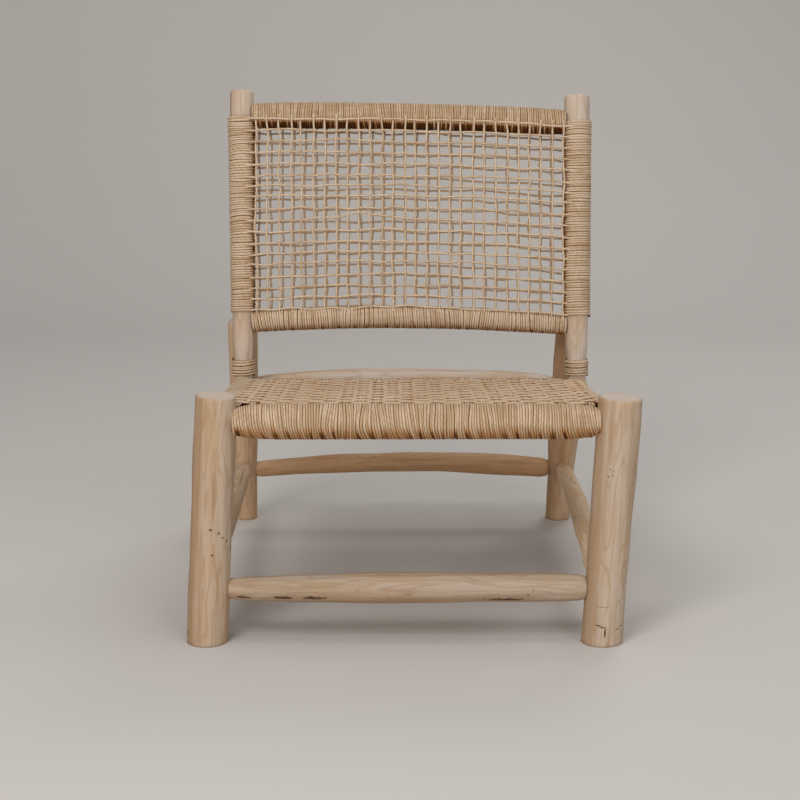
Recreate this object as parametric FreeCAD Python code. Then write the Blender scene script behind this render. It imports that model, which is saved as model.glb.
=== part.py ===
import FreeCAD, Part
import math
import os

# A low lounge chair of peeled branches and twisted cord.
# Millimetres. +X is the right of a viewer in front of the chair, +Y its back, +Z up.
# The origin lies on the floor in the middle of the footprint.

Vector = FreeCAD.Vector

# Front legs, rising above the front of the seat
front_feet_spacing = 597.6
front_leg_lean = 20.0
front_leg_left_radius = 31.0
front_leg_right_radius = 32.2
front_leg_left_rise = 13.0
front_leg_right_rise = 10.0
front_leg_chamfer = 2.5

# Rear legs, raked so that the feet stand behind the tops, which are let in for the posts
feet_depth = 687.6
rear_feet_spacing = 574.8
rear_feet_shift = -13.4
rear_leg_left_lean = 8.0
rear_leg_right_lean = 8.0
rear_leg_below_rail = 7.8
leg_let_in = 3.7
rear_leg_left_radius = 25.8
rear_leg_right_radius = 27.0
rear_leg_chamfer = 5.0

# Back posts, leaning to the back and rising above the top rail
post_behind_seat = 30.0
post_lean_degrees = 11.0
post_left_foot_x = -288.3
post_left_lean = -2.3
post_left_rise = 42.6
post_left_radius = 20.9
post_right_foot_x = 288.0
post_right_lean = -0.3
post_right_rise = 47.1
post_right_radius = 21.8
post_chamfer = 2.5
post_foot_overlap = 5.0

# Seat: the woven face is a plane that falls to the back
seat_front_height = 369.0
seat_drop = 62.8
seat_depth = 480.0
front_rail_radius = 23.0
rear_rail_radius = 16.0
side_rail_radius = 15.0
side_rail_left_front_x = -287.5
side_rail_left_rear_x = -290.5
side_rail_left_bow = 0.5
side_rail_right_front_x = 300.0
side_rail_right_rear_x = 290.0
side_rail_right_bow = -13.0
seat_weave_thickness = 6.4
under_weave_thickness = 4.2

# Rails of the back: the lower one above the seat at the posts, the top one above the lower
top_rail_left_rise = 348.1
top_rail_right_rise = 342.6
top_rail_radius = 19.0
top_rail_bow = 4.2
lower_rail_left_rise = 94.5
lower_rail_right_rise = 88.0
lower_rail_radius = 16.0
lower_rail_bow = 10.6

# Bare rail between the rear legs, below the front of the seat, and the four stretchers
leg_rail_below_seat = 97.5
leg_rail_radius = 16.0
leg_rail_bow = 10.5
front_stretcher_left_height = 82.5
front_stretcher_right_height = 85.5
front_stretcher_radius = 23.2
front_stretcher_bow = 0.8
rear_stretcher_left_height = 99.5
rear_stretcher_right_height = 103.0
rear_stretcher_radius = 19.2
rear_stretcher_bow = 12.0
side_stretcher_height = 109.0
side_stretcher_left_radius = 16.0
side_stretcher_left_front_x = -303.8
side_stretcher_left_bow = 0.5
side_stretcher_right_radius = 16.6
side_stretcher_right_front_x = 275.5
side_stretcher_right_bow = 7.0

# Cord
cord_diameter = 3.8
wrap_gap = 0.3
weave_gap = 0.45
wrap_end = 3.0
post_wrap_top_margin = 47.0
post_wrap_bottom_lift = 15.5
net_columns = 22
net_rows = 13
lashing_turns = 6.5
lashing_pitch = 4.35
lashing_start = 3.5

# Joints
front_rail_tenon_radius = 13.0
front_stretcher_tenon_radius = 12.0
side_rail_tenon_radius = 9.5
side_stretcher_tenon_radius = 8.5
rear_stretcher_tenon_radius = 10.0
leg_rail_tenon_radius = 10.0
back_rail_tenon_radius = 9.0
rear_rail_tenon_radius = 8.0
post_tenon_radius = 7.5
post_tenon_length = 16.0
tenon_root = 2.6
shoulder_gap = 0.5
tenon_past_axis = 9.0
tenon_short_of_axis = 2.0
tenon_web = 1.6
tenon_gap = 0.15
tenon_tip_gap = 0.8
seat_gap = 0.3
overrun = 40.0
screw_radius = 2.5
screw_head_radius = 5.5
screw_head_height = 3.2
screw_grip = 8.0
screw_below_top = 14.5

# Shares of a member's length and of its full radius, from its first end to its last
FRONT_LEG_LEFT_SHARES = ((0.0, 1.0), (0.3, 1.0), (0.55, 0.985), (0.78, 1.03), (0.9, 0.99), (1.0, 0.965))
FRONT_LEG_RIGHT_SHARES = ((0.0, 0.965), (0.2, 0.955), (0.45, 0.975), (0.6, 1.0), (0.85, 1.0), (1.0, 1.0))
REAR_LEG_LEFT_SHARES = ((0.0, 0.75), (0.25, 0.8), (0.5, 0.9), (0.75, 0.98), (1.0, 1.0))
REAR_LEG_RIGHT_SHARES = ((0.0, 0.82), (0.2, 0.86), (0.45, 1.0), (0.7, 0.97), (1.0, 0.93))
POST_LEFT_SHARES = ((0.0, 0.77), (0.07, 0.79), (0.13, 0.86), (0.25, 0.84), (0.45, 0.86),
                    (0.75, 0.93), (0.92, 0.98), (1.0, 0.98))
POST_RIGHT_SHARES = ((0.0, 0.74), (0.07, 0.76), (0.13, 0.86), (0.23, 0.92), (0.45, 0.94),
                     (0.75, 0.97), (0.92, 1.0), (1.0, 0.99))
RAIL_SHARES = ((0.0, 0.9), (0.04, 0.97), (0.12, 1.0), (0.5, 1.0), (0.88, 1.0), (0.96, 0.97), (1.0, 0.9))
FRONT_RAIL_SHARES = ((0.0, 0.8), (0.03, 0.92), (0.1, 0.985), (0.5, 1.0), (0.9, 0.985), (0.97, 0.92), (1.0, 0.8))
LOWER_RAIL_SHARES = ((0.0, 0.92), (0.05, 0.97), (0.2, 1.0), (0.5, 1.0), (0.8, 0.95), (0.95, 0.87), (1.0, 0.82))
LEG_RAIL_SHARES = ((0.0, 0.72), (0.05, 0.86), (0.15, 0.97), (0.5, 1.0), (0.85, 0.97), (0.95, 0.86), (1.0, 0.72))
FRONT_STRETCHER_SHARES = ((0.0, 0.66), (0.015, 0.72), (0.06, 0.8), (0.2, 0.9), (0.4, 0.985),
                          (0.6, 1.0), (0.76, 0.94), (0.93, 0.91), (0.985, 0.84), (1.0, 0.74))
REAR_STRETCHER_SHARES = ((0.0, 0.68), (0.02, 0.76), (0.12, 0.81), (0.35, 0.87), (0.6, 0.91),
                         (0.85, 1.0), (0.98, 0.92), (1.0, 0.78))
SIDE_STRETCHER_SHARES = ((0.0, 0.7), (0.05, 0.86), (0.3, 0.97), (0.6, 1.0), (0.92, 0.87), (1.0, 0.7))
SLAB_EDGE_SHARES = (0.0, 0.125, 0.25, 0.375, 0.5, 0.625, 0.75, 0.875, 1.0)

widest_station_share = 0.11
samples_per_quarter = 8

# Places worked out from the sizes
wrap_growth = wrap_gap + cord_diameter
front_leg_left_height = seat_front_height + front_leg_left_rise
front_leg_right_height = seat_front_height + front_leg_right_rise
seat_fall = seat_drop / seat_depth
post_lean = math.radians(post_lean_degrees)
post_foot_depth = seat_depth + post_behind_seat
post_seat_height = seat_front_height - seat_fall * post_foot_depth
lower_rail_left_height = post_seat_height + lower_rail_left_rise
lower_rail_right_height = post_seat_height + lower_rail_right_rise
top_rail_left_height = lower_rail_left_height + top_rail_left_rise
top_rail_right_height = lower_rail_right_height + top_rail_right_rise
post_left_height = top_rail_left_height + post_left_rise
post_right_height = top_rail_right_height + post_right_rise
leg_rail_height = seat_front_height - leg_rail_below_seat
rear_leg_height = lower_rail_left_height - rear_leg_below_rail
leg_behind_post = post_left_radius + rear_leg_left_radius - leg_let_in
post_reach = (rear_leg_height - post_seat_height) * math.tan(post_lean)
rear_leg_rake = feet_depth - post_foot_depth - post_reach - leg_behind_post
overall_width = front_leg_left_radius + front_feet_spacing + front_leg_lean + front_leg_right_radius
rear_foot_radius = rear_leg_right_radius * REAR_LEG_RIGHT_SHARES[0][1]
rake_angle = math.atan2(rear_leg_rake, rear_leg_height)
rear_foot_reach = rear_foot_radius / math.cos(rake_angle)
overall_depth = front_leg_right_radius + feet_depth + rear_foot_reach
front_y = -overall_depth / 2 + front_leg_right_radius
left_foot_x = -overall_width / 2 + front_leg_left_radius
right_foot_x = left_foot_x + front_feet_spacing
rear_y = front_y + feet_depth
post_y = front_y + post_foot_depth
back_up = Vector(0, math.sin(post_lean), math.cos(post_lean))
back_normal = Vector(0, math.cos(post_lean), -math.sin(post_lean))


def seat_top(y):
    """Height of the woven face at a depth."""
    return seat_front_height - seat_fall * (y - front_y)


def share_at(shares, t):
    """Smooth value between the hand-set shares."""
    for (low, first), (high, last) in zip(shares, shares[1:]):
        if t <= high:
            part = (t - low) / (high - low)
            return first + (last - first) * part * part * (3 - 2 * part)
    return shares[-1][1]


def spaced(stations):
    """The stations with more between those that lie far apart."""
    filled = [stations[0]]
    for low, high in zip(stations, stations[1:]):
        count = max(1, math.ceil((high - low) / widest_station_share))
        filled += [low + (high - low) * k / count for k in range(1, count + 1)]
    return filled


class Branch:
    """A round natural member along a straight or evenly bowed axis."""

    def __init__(self, start, end, radius, shares, bow=Vector(0, 0, 0)):
        self.start = start
        self.end = end
        self.radius = radius
        self.shares = shares
        self.bow = bow

    def length(self):
        return (self.end - self.start).Length

    def point(self, t):
        return self.start + (self.end - self.start) * t + self.bow * (4 * t * (1 - t))

    def direction(self, t):
        run = (self.end - self.start) + self.bow * (4 * (1 - 2 * t))
        return run.normalize()

    def radius_at(self, t):
        return self.radius * share_at(self.shares, t)

    def at_height(self, z):
        return (z - self.start.z) / (self.end.z - self.start.z)

    def at_depth(self, y):
        return (y - self.start.y) / (self.end.y - self.start.y)

    def solid(self, growth=0.0, first=0.0, last=1.0):
        """The member, thicker by growth, between two shares of its length."""
        rings = []
        for t in spaced([first] + [t for t, share in self.shares if first < t < last] + [last]):
            circle = Part.makeCircle(self.radius_at(t) + growth, self.point(t), self.direction(t))
            rings.append(Part.Wire([circle]))
        return Part.makeLoft(rings, True, False)


class Joint:
    """Where a rail's tenon enters a host member: a point beside the host's axis."""

    def __init__(self, host, t, tenon_radius, past_axis, offset=Vector(0, 0, 0)):
        self.host = host
        self.t = t
        self.point = host.point(t) + offset
        self.tenon_radius = tenon_radius
        self.past_axis = past_axis

    def shoulder(self, toward, shoulder_radius, tilt):
        """First point of the rail that its shoulder's tilted disc leaves clear of the host."""
        lean = abs(self.host.direction(self.t).dot(toward))
        spread = shoulder_radius / self.host.length()
        widest = max(self.host.radius_at(t) for t in (self.t - spread, self.t, self.t + spread))
        reach = widest + shoulder_radius * (lean + tilt)
        return self.point + toward * (reach / math.sqrt(1 - lean * lean) + shoulder_gap)


class Rail:
    """A branch between two joints, with a round tenon at each end."""

    def __init__(self, first, last, radius, shares, bow=Vector(0, 0, 0)):
        run = (last.point - first.point).normalize()
        tilt = 4 * bow.Length / (last.point - first.point).Length
        start = first.shoulder(run, radius * shares[0][1], tilt)
        end = last.shoulder(run * -1, radius * shares[-1][1], tilt)
        self.branch = Branch(start, end, radius, shares, bow)
        self.joints = (first, last)

    def tenons(self, growth=0.0, tip=0.0, neck=0.0):
        """Both tenons, or with growth the mortises that take them."""
        made = []
        for joint, t, sign in ((self.joints[0], 0.0, -1), (self.joints[1], 1.0, 1)):
            out = self.branch.direction(t) * sign
            root = self.branch.point(t) - out * tenon_root
            depth = (joint.point - self.branch.point(t)).Length + joint.past_axis
            start = root + out * (tenon_root + neck)
            length = depth + tip - neck if growth else depth + tenon_root
            begin = start if growth else root
            made.append(Part.makeCylinder(joint.tenon_radius + growth, length, begin, out))
        return made

    def solid(self):
        body = self.branch.solid()
        return body.fuse(self.tenons()).removeSplitter()

    def mortise(self, end):
        """The hole in the host of one end, open past the host's face."""
        return self.tenons(tenon_gap, tenon_tip_gap, -seat_gap)[end]


def vertical_leg(foot_x, lean, height, radius, shares):
    """A front leg, upright in depth, whose top leans to +X."""
    foot = Vector(foot_x, front_y, 0)
    return Branch(foot, Vector(foot_x + lean, front_y, height), radius, shares)


def raked_leg(foot_x, lean, radius, shares):
    """A rear leg whose top stands forward of its foot."""
    foot = Vector(foot_x, rear_y, 0)
    top = Vector(foot_x + lean, rear_y - rear_leg_rake, rear_leg_height)
    return Branch(foot, top, radius, shares)


def back_post(foot_x, lean, height, radius, shares):
    """A back post from the side rail's top up, leaning to the back."""
    foot = Vector(foot_x, post_y, post_seat_height - cord_diameter)
    rise = height - foot.z
    top = foot + Vector(lean, rise * math.tan(post_lean), rise)
    return Branch(foot, top, radius, shares)


def flat_foot(branch, chamfer):
    """A leg cut level at the floor, with its top edge eased."""
    below = branch.direction(0.0) * overrun
    longer = Branch(branch.start - below, branch.start, branch.radius_at(0.0), ((0.0, 1.0), (1.0, 1.0)))
    body = branch.solid().fuse(longer.solid())
    side = overall_width + overall_depth
    floor = Part.makeBox(side, side, overrun * 2, Vector(-side / 2, -side / 2, -overrun * 2))
    return eased_top(body.cut(floor).removeSplitter(), branch, chamfer)


def eased_top(body, branch, chamfer):
    """Chamfer on the edge round a branch's last end."""
    centre = branch.point(1.0)
    edges = [e for e in body.Edges if e.CenterOfMass.distanceToPoint(centre) < chamfer]
    return body.makeChamfer(chamfer, edges)


def post_foot(branch, rail):
    """The saddle and the round tenon with which a post stands on its side rail."""
    down = branch.direction(0.0) * -1
    longer = Branch(branch.start, branch.start + down * post_foot_overlap, branch.radius_at(0.0),
                    ((0.0, 1.0), (1.0, 1.0)))
    saddle = rail.branch.solid(seat_gap)
    body = branch.solid().fuse(longer.solid()).removeSplitter().cut(saddle)
    tenon = Part.makeCylinder(post_tenon_radius, post_tenon_length + post_foot_overlap,
                              branch.start - down * post_foot_overlap, down)
    return eased_top(body.fuse(tenon).removeSplitter(), branch, post_chamfer)


def post_mortise(branch):
    """The hole in the side rail that takes a post's tenon."""
    down = branch.direction(0.0) * -1
    return Part.makeCylinder(post_tenon_radius + tenon_gap, post_tenon_length + tenon_tip_gap + overrun,
                             branch.start - down * overrun, down)


def sleeve(branch, first, last):
    """A layer of close turns as a plain tube round a member."""
    outer = branch.solid(wrap_growth, first, last)
    return outer.cut(branch.solid(wrap_gap))


def clear_of(shape, others):
    """A shape cut back from others."""
    for other in others:
        shape = shape.cut(other)
    return shape


# Frame members
front_leg_left = vertical_leg(left_foot_x, front_leg_lean, front_leg_left_height,
                              front_leg_left_radius, FRONT_LEG_LEFT_SHARES)
front_leg_right = vertical_leg(right_foot_x, front_leg_lean, front_leg_right_height,
                               front_leg_right_radius, FRONT_LEG_RIGHT_SHARES)
rear_leg_left = raked_leg(rear_feet_shift - rear_feet_spacing / 2, rear_leg_left_lean,
                          rear_leg_left_radius, REAR_LEG_LEFT_SHARES)
rear_leg_right = raked_leg(rear_feet_shift + rear_feet_spacing / 2, rear_leg_right_lean,
                           rear_leg_right_radius, REAR_LEG_RIGHT_SHARES)
post_left = back_post(post_left_foot_x, post_left_lean, post_left_height, post_left_radius, POST_LEFT_SHARES)
post_right = back_post(post_right_foot_x, post_right_lean, post_right_height, post_right_radius,
                       POST_RIGHT_SHARES)


def cross_rail(hosts, heights, tenon_radius, past_axis, radius, shares, bow):
    """A rail along X between two upright members."""
    joints = [Joint(host, host.at_height(z), tenon_radius, past_axis) for host, z in zip(hosts, heights)]
    return Rail(joints[0], joints[1], radius, shares, bow)


front_legs = (front_leg_left, front_leg_right)
rear_legs = (rear_leg_left, rear_leg_right)
posts = (post_left, post_right)
front_rail_height = seat_front_height - front_rail_radius - wrap_growth
front_rail = cross_rail(front_legs, (front_rail_height, front_rail_height), front_rail_tenon_radius,
                        tenon_past_axis, front_rail_radius, FRONT_RAIL_SHARES, Vector(0, 0, 0))
front_stretcher = cross_rail(front_legs, (front_stretcher_left_height, front_stretcher_right_height),
                             front_stretcher_tenon_radius, tenon_past_axis, front_stretcher_radius,
                             FRONT_STRETCHER_SHARES, Vector(0, 0, front_stretcher_bow))
rear_stretcher = cross_rail(rear_legs, (rear_stretcher_left_height, rear_stretcher_right_height),
                            rear_stretcher_tenon_radius, tenon_past_axis, rear_stretcher_radius,
                            REAR_STRETCHER_SHARES, Vector(0, 0, rear_stretcher_bow))
leg_rail = cross_rail(rear_legs, (leg_rail_height, leg_rail_height), leg_rail_tenon_radius,
                      tenon_past_axis, leg_rail_radius, LEG_RAIL_SHARES, Vector(0, 0, leg_rail_bow))
top_rail = cross_rail(posts, (top_rail_left_height, top_rail_right_height), back_rail_tenon_radius,
                      -tenon_short_of_axis, top_rail_radius, RAIL_SHARES, back_up * top_rail_bow)
lower_rail = cross_rail(posts, (lower_rail_left_height, lower_rail_right_height), back_rail_tenon_radius,
                        -tenon_short_of_axis, lower_rail_radius, LOWER_RAIL_SHARES, back_up * lower_rail_bow)


def side_rail(front_leg, rear_leg, front_x, rear_x, bow):
    """A side seat rail under the woven plane, from a front leg to a rear leg."""
    drop = side_rail_radius + wrap_growth
    front_z = seat_top(front_y) - drop
    front_offset = Vector(front_x - front_leg.point(front_leg.at_height(front_z)).x, 0, 0)
    rear_z = seat_top(rear_y - rear_leg_rake * (front_z - seat_drop) / rear_leg_height) - drop
    rear_offset = Vector(rear_x - rear_leg.point(rear_leg.at_height(rear_z)).x, 0, 0)
    short_front = front_rail_tenon_radius + tenon_web
    short_rear = leg_rail_tenon_radius + tenon_web
    first = Joint(front_leg, front_leg.at_height(front_z), side_rail_tenon_radius, -short_front, front_offset)
    last = Joint(rear_leg, rear_leg.at_height(rear_z), side_rail_tenon_radius, -short_rear, rear_offset)
    return Rail(first, last, side_rail_radius, RAIL_SHARES, Vector(bow, 0, 0))


def side_stretcher(front_leg, rear_leg, front_x, radius, bow):
    """A low stretcher from a front leg to a rear leg."""
    front_t = front_leg.at_height(side_stretcher_height)
    front_offset = Vector(front_x - front_leg.point(front_t).x, 0, 0)
    first = Joint(front_leg, front_t, side_stretcher_tenon_radius, -tenon_short_of_axis, front_offset)
    short_rear = rear_stretcher_tenon_radius + tenon_web
    last = Joint(rear_leg, rear_leg.at_height(side_stretcher_height), side_stretcher_tenon_radius, -short_rear)
    return Rail(first, last, radius, SIDE_STRETCHER_SHARES, Vector(bow, 0, 0))


side_rail_left = side_rail(front_leg_left, rear_leg_left, side_rail_left_front_x,
                           side_rail_left_rear_x, side_rail_left_bow)
side_rail_right = side_rail(front_leg_right, rear_leg_right, side_rail_right_front_x,
                            side_rail_right_rear_x, side_rail_right_bow)
side_stretcher_left = side_stretcher(front_leg_left, rear_leg_left, side_stretcher_left_front_x,
                                     side_stretcher_left_radius, side_stretcher_left_bow)
side_stretcher_right = side_stretcher(front_leg_right, rear_leg_right, side_stretcher_right_front_x,
                                      side_stretcher_right_radius, side_stretcher_right_bow)


def rear_seat_rail():
    """The rear rail of the seat, between the two side rails."""
    y = front_y + seat_depth
    lift = Vector(0, 0, side_rail_radius - rear_rail_radius)
    joints = []
    for rail in (side_rail_left, side_rail_right):
        host = rail.branch
        joints.append(Joint(host, host.at_depth(y), rear_rail_tenon_radius, -tenon_short_of_axis, lift))
    return Rail(joints[0], joints[1], rear_rail_radius, RAIL_SHARES)


rear_rail = rear_seat_rail()


def leg_screw_axis(leg, post):
    """Head end and direction of the screw that holds a rear leg's top to its post."""
    z = rear_leg_height - screw_below_top
    at_leg = leg.point(leg.at_height(z))
    at_post = post.point(post.at_height(z))
    run = Vector(at_post.x - at_leg.x, at_post.y - at_leg.y, 0).normalize()
    lean = abs(leg.direction(0.5).dot(run))
    back = leg.radius_at(leg.at_height(z)) / math.sqrt(1 - lean * lean)
    head = at_leg - run * (back - screw_head_height)
    tip = at_post - run * (post.radius_at(post.at_height(z)) - screw_grip)
    return head, run, (tip - head).Length


def leg_screw(leg, post, growth=0.0, tip=0.0):
    """Screw with a flat head let into the back of a rear leg."""
    head, run, length = leg_screw_axis(leg, post)
    shank = Part.makeCylinder(screw_radius + growth, length + tip, head, run)
    cap_length = screw_head_height + (overrun if growth else 0.0)
    cap = Part.makeCylinder(screw_head_radius + growth, cap_length, head, run * -1)
    return shank.fuse(cap).removeSplitter()


def wrap_ends(branch, first, last):
    """Shares of a member's length between two distances from its ends."""
    return first / branch.length(), 1 - last / branch.length()


front_wrap_span = wrap_ends(front_rail.branch, wrap_end, wrap_end)
top_wrap_span = wrap_ends(top_rail.branch, wrap_end + cord_diameter, wrap_end + cord_diameter)
lower_wrap_span = wrap_ends(lower_rail.branch, wrap_end + cord_diameter, wrap_end + cord_diameter)
rear_wrap_span = wrap_ends(rear_rail.branch, wrap_end, wrap_end)


def side_wrap_span(rail):
    """The side rail's wrap runs from the front leg to the rear seat rail."""
    limit = front_y + seat_depth - rear_rail_radius - wrap_growth
    return wrap_end / rail.branch.length(), rail.branch.at_depth(limit - wrap_end)


def post_wrap_span(post, lower_height):
    """A post is wrapped from just above the lower rail's axis to a little below its top."""
    first = post.at_height(lower_height + post_wrap_bottom_lift)
    return first, 1 - post_wrap_top_margin / post.length()


def post_wrap(post, lower_height):
    """The wrap of a post, open where the two rails of the back enter it."""
    first, last = post_wrap_span(post, lower_height)
    tube = sleeve(post, first, last)
    gaps = [top_rail.branch.solid(wrap_gap), lower_rail.branch.solid(wrap_gap)]
    gaps += [cylinder for rail in (top_rail, lower_rail) for cylinder in rail.tenons(wrap_gap, 0.0, -cord_diameter)]
    return clear_of(tube, gaps)


def plane_face(points):
    """A flat face with straight sides."""
    return Part.Face(Part.makePolygon(points + [points[0]]))


def half_width(radius, offset):
    """Half the chord of a circle at a distance from its centre."""
    return math.sqrt(radius * radius - offset * offset)


def seat_slab(top_drop, thickness):
    """A woven layer of the seat between the wraps, parallel to the seat's plane."""
    def inset(radius, centre_drop):
        near = max(0.0, abs(centre_drop - top_drop - thickness / 2) - thickness / 2)
        return half_width(radius, near) + weave_gap
    slant = math.hypot(1, seat_fall)
    front_wrap = front_rail_radius + wrap_growth
    rear_wrap = rear_rail_radius + wrap_growth
    side_wrap = (side_rail_radius + wrap_growth) * slant
    front_in = inset(front_wrap, front_wrap) + seat_fall * front_wrap
    rear_in = inset(rear_wrap, rear_wrap) + seat_fall * (top_drop + thickness)
    side_in = inset(side_wrap, side_rail_radius + wrap_growth)
    low_y = front_y + front_in
    high_y = front_y + seat_depth - rear_in
    points = []
    for share in SLAB_EDGE_SHARES:
        y = low_y + (high_y - low_y) * share
        x = side_rail_left.branch.point(side_rail_left.branch.at_depth(y)).x + side_in
        points.append(Vector(x, y, seat_top(y) - top_drop))
    for share in reversed(SLAB_EDGE_SHARES):
        y = low_y + (high_y - low_y) * share
        x = side_rail_right.branch.point(side_rail_right.branch.at_depth(y)).x - side_in
        points.append(Vector(x, y, seat_top(y) - top_drop))
    return plane_face(points).extrude(Vector(0, 0, -thickness))


def back_net(side):
    """One layer of the back's net as a holed plate, in front of or behind the rails."""
    inner = top_rail_radius + wrap_growth - cord_diameter * 2
    outer = inner + cord_diameter
    shift = back_normal * (side * outer)
    widest_post = post_right_radius * max(share for t, share in POST_RIGHT_SHARES)
    post_in = half_width(widest_post + wrap_growth, inner) + wrap_gap
    top_in = half_width(top_rail_radius + wrap_growth, inner) + wrap_gap

    def corner(u, v):
        """A point of the net at shares of its width and height."""
        low_x = post_left.point(lower_share_left + (upper_share_left - lower_share_left) * v).x + post_in
        high_x = post_right.point(lower_share_right + (upper_share_right - lower_share_right) * v).x - post_in
        x = low_x + (high_x - low_x) * u
        bottom = rail_line(lower_rail.branch, x) + back_up * (lower_rail_radius + wrap_growth + wrap_gap)
        top = rail_line(top_rail.branch, x) - back_up * top_in
        return bottom + (top - bottom) * v + shift

    lower_share_left = post_left.at_height(lower_rail_left_height)
    upper_share_left = post_left.at_height(top_rail_left_height)
    lower_share_right = post_right.at_height(lower_rail_right_height)
    upper_share_right = post_right.at_height(top_rail_right_height)
    count = net_columns
    border = [corner(i / count, 0.0) for i in range(count + 1)]
    border += [corner(i / count, 1.0) for i in range(count, -1, -1)]
    outline = Part.makePolygon(border + [border[0]])
    holes = []
    width = corner(1.0, 0.5).x - corner(0.0, 0.5).x
    height = (corner(0.5, 1.0) - corner(0.5, 0.0)).Length
    half_u = cord_diameter / width / 2
    half_v = cord_diameter / height / 2
    for i in range(net_columns):
        for j in range(net_rows):
            u0 = i / net_columns + half_u
            u1 = (i + 1) / net_columns - half_u
            v0 = j / net_rows + half_v
            v1 = (j + 1) / net_rows - half_v
            ring = [corner(u0, v0), corner(u1, v0), corner(u1, v1), corner(u0, v1)]
            holes.append(Part.makePolygon(ring + [ring[0]]))
    face = Part.makeFace([outline] + holes, "Part::FaceMakerCheese")
    return face.extrude(back_normal * (-side * cord_diameter))


def rail_line(branch, x):
    """The point of a cross rail's axis at a place along X."""
    return branch.point((x - branch.start.x) / (branch.end.x - branch.start.x))


def arc_edge(start, tangent, end):
    """The arc that leaves a point along a tangent and ends at another point."""
    chord = end - start
    length = chord.Length
    unit = chord * (1 / length)
    cosine = tangent.dot(unit)
    side = (tangent - unit * cosine).normalize()
    bulge = length / 2 * math.tan(math.acos(cosine) / 2)
    return Part.Arc(start, start + chord * 0.5 + side * bulge, end).toShape()


def biarc(start, start_tangent, end, end_tangent):
    """Two arcs that join two points and share their tangents."""
    run = end - start
    both = start_tangent + end_tangent
    spread = 2 * (1 - start_tangent.dot(end_tangent))
    root = math.sqrt(run.dot(both) ** 2 + spread * run.dot(run))
    reach = (root - run.dot(both)) / spread
    middle = (start + end + (start_tangent - end_tangent) * reach) * 0.5
    leave = (middle - start - start_tangent * reach).normalize()
    first = arc_edge(start, start_tangent, middle)
    second = arc_edge(middle, leave, end)
    return [first, second]


def lashing(post):
    """The cord's turns round a post's foot, as one unbroken tube."""
    axis = post.direction(0.0)
    across = Vector(0, 0, 1).cross(axis).normalize()
    ahead = axis.cross(across)
    top_share = (lashing_start + cord_diameter + lashing_turns * lashing_pitch) / post.length()
    radius = post.radius_at(top_share) + wrap_gap + cord_diameter / 2
    rate = lashing_pitch / (2 * math.pi)
    base = post.start + axis * (cord_diameter + lashing_start)

    def point(angle):
        return base + across * (radius * math.cos(angle)) + ahead * (radius * math.sin(angle)) + axis * (rate * angle)

    def tangent(angle):
        run = ahead * (radius * math.cos(angle)) - across * (radius * math.sin(angle)) + axis * rate
        return run.normalize()

    quarter = math.pi / 2
    count = int(round(lashing_turns * 4))
    edges = [Part.makeLine(point(0.0) - tangent(0.0) * cord_diameter, point(0.0))]
    for step in range(count):
        low = step * quarter
        edges += biarc(point(low), tangent(low), point(low + quarter), tangent(low + quarter))
    last = count * quarter
    edges.append(Part.makeLine(point(last), point(last) + tangent(last) * cord_diameter))
    path = Part.Wire(edges)
    begin = point(0.0) - tangent(0.0) * cord_diameter
    ring = Part.Wire([Part.makeCircle(cord_diameter / 2, begin, tangent(0.0))])
    tube = path.makePipeShell([ring], True, False)
    total = count * samples_per_quarter
    samples = [point(last * k / total) for k in range(total + 1)]
    near = min((samples[a] - samples[b]).Length for a in range(total + 1)
               for b in range(a + samples_per_quarter * 2, total + 1))
    print("lashing: least gap between turns %.2f mm" % (near - cord_diameter))
    return tube


def front_leg_solid(leg, end):
    """A front leg with the mortises of its two rails, its stretcher and its side stretcher."""
    side = (side_rail_left, side_rail_right)[end]
    low = (side_stretcher_left, side_stretcher_right)[end]
    cuts = [front_rail.mortise(end), front_stretcher.mortise(end), side.mortise(0), low.mortise(0)]
    return clear_of(flat_foot(leg, front_leg_chamfer), cuts)


def rear_leg_solid(leg, end):
    """A rear leg, let in at its top for the post, with its mortises and screw hole."""
    side = (side_rail_left, side_rail_right)[end]
    low = (side_stretcher_left, side_stretcher_right)[end]
    cuts = [leg_rail.mortise(end), rear_stretcher.mortise(end), side.mortise(1), low.mortise(1)]
    cuts += [posts[end].solid(seat_gap), lower_rail.branch.solid(wrap_growth + wrap_gap)]
    cuts.append(posts[end].solid(wrap_growth + wrap_gap, *post_wrap_span(posts[end], lower_heights[end])))
    cuts.append(leg_screw(leg, posts[end], tenon_gap, tenon_tip_gap))
    return clear_of(flat_foot(leg, rear_leg_chamfer), cuts)


def post_solid(post, end):
    """A back post with its foot on the side rail and the mortises of the back's rails."""
    rail = (side_rail_left, side_rail_right)[end]
    cuts = [top_rail.mortise(end), lower_rail.mortise(end)]
    cuts.append(leg_screw(rear_legs[end], post, tenon_gap, tenon_tip_gap))
    return clear_of(post_foot(post, rail), cuts)


def side_rail_solid(rail, end):
    """A side rail with the mortises of the rear rail and the post."""
    return clear_of(rail.solid(), [rear_rail.mortise(end), post_mortise(posts[end])])


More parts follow.
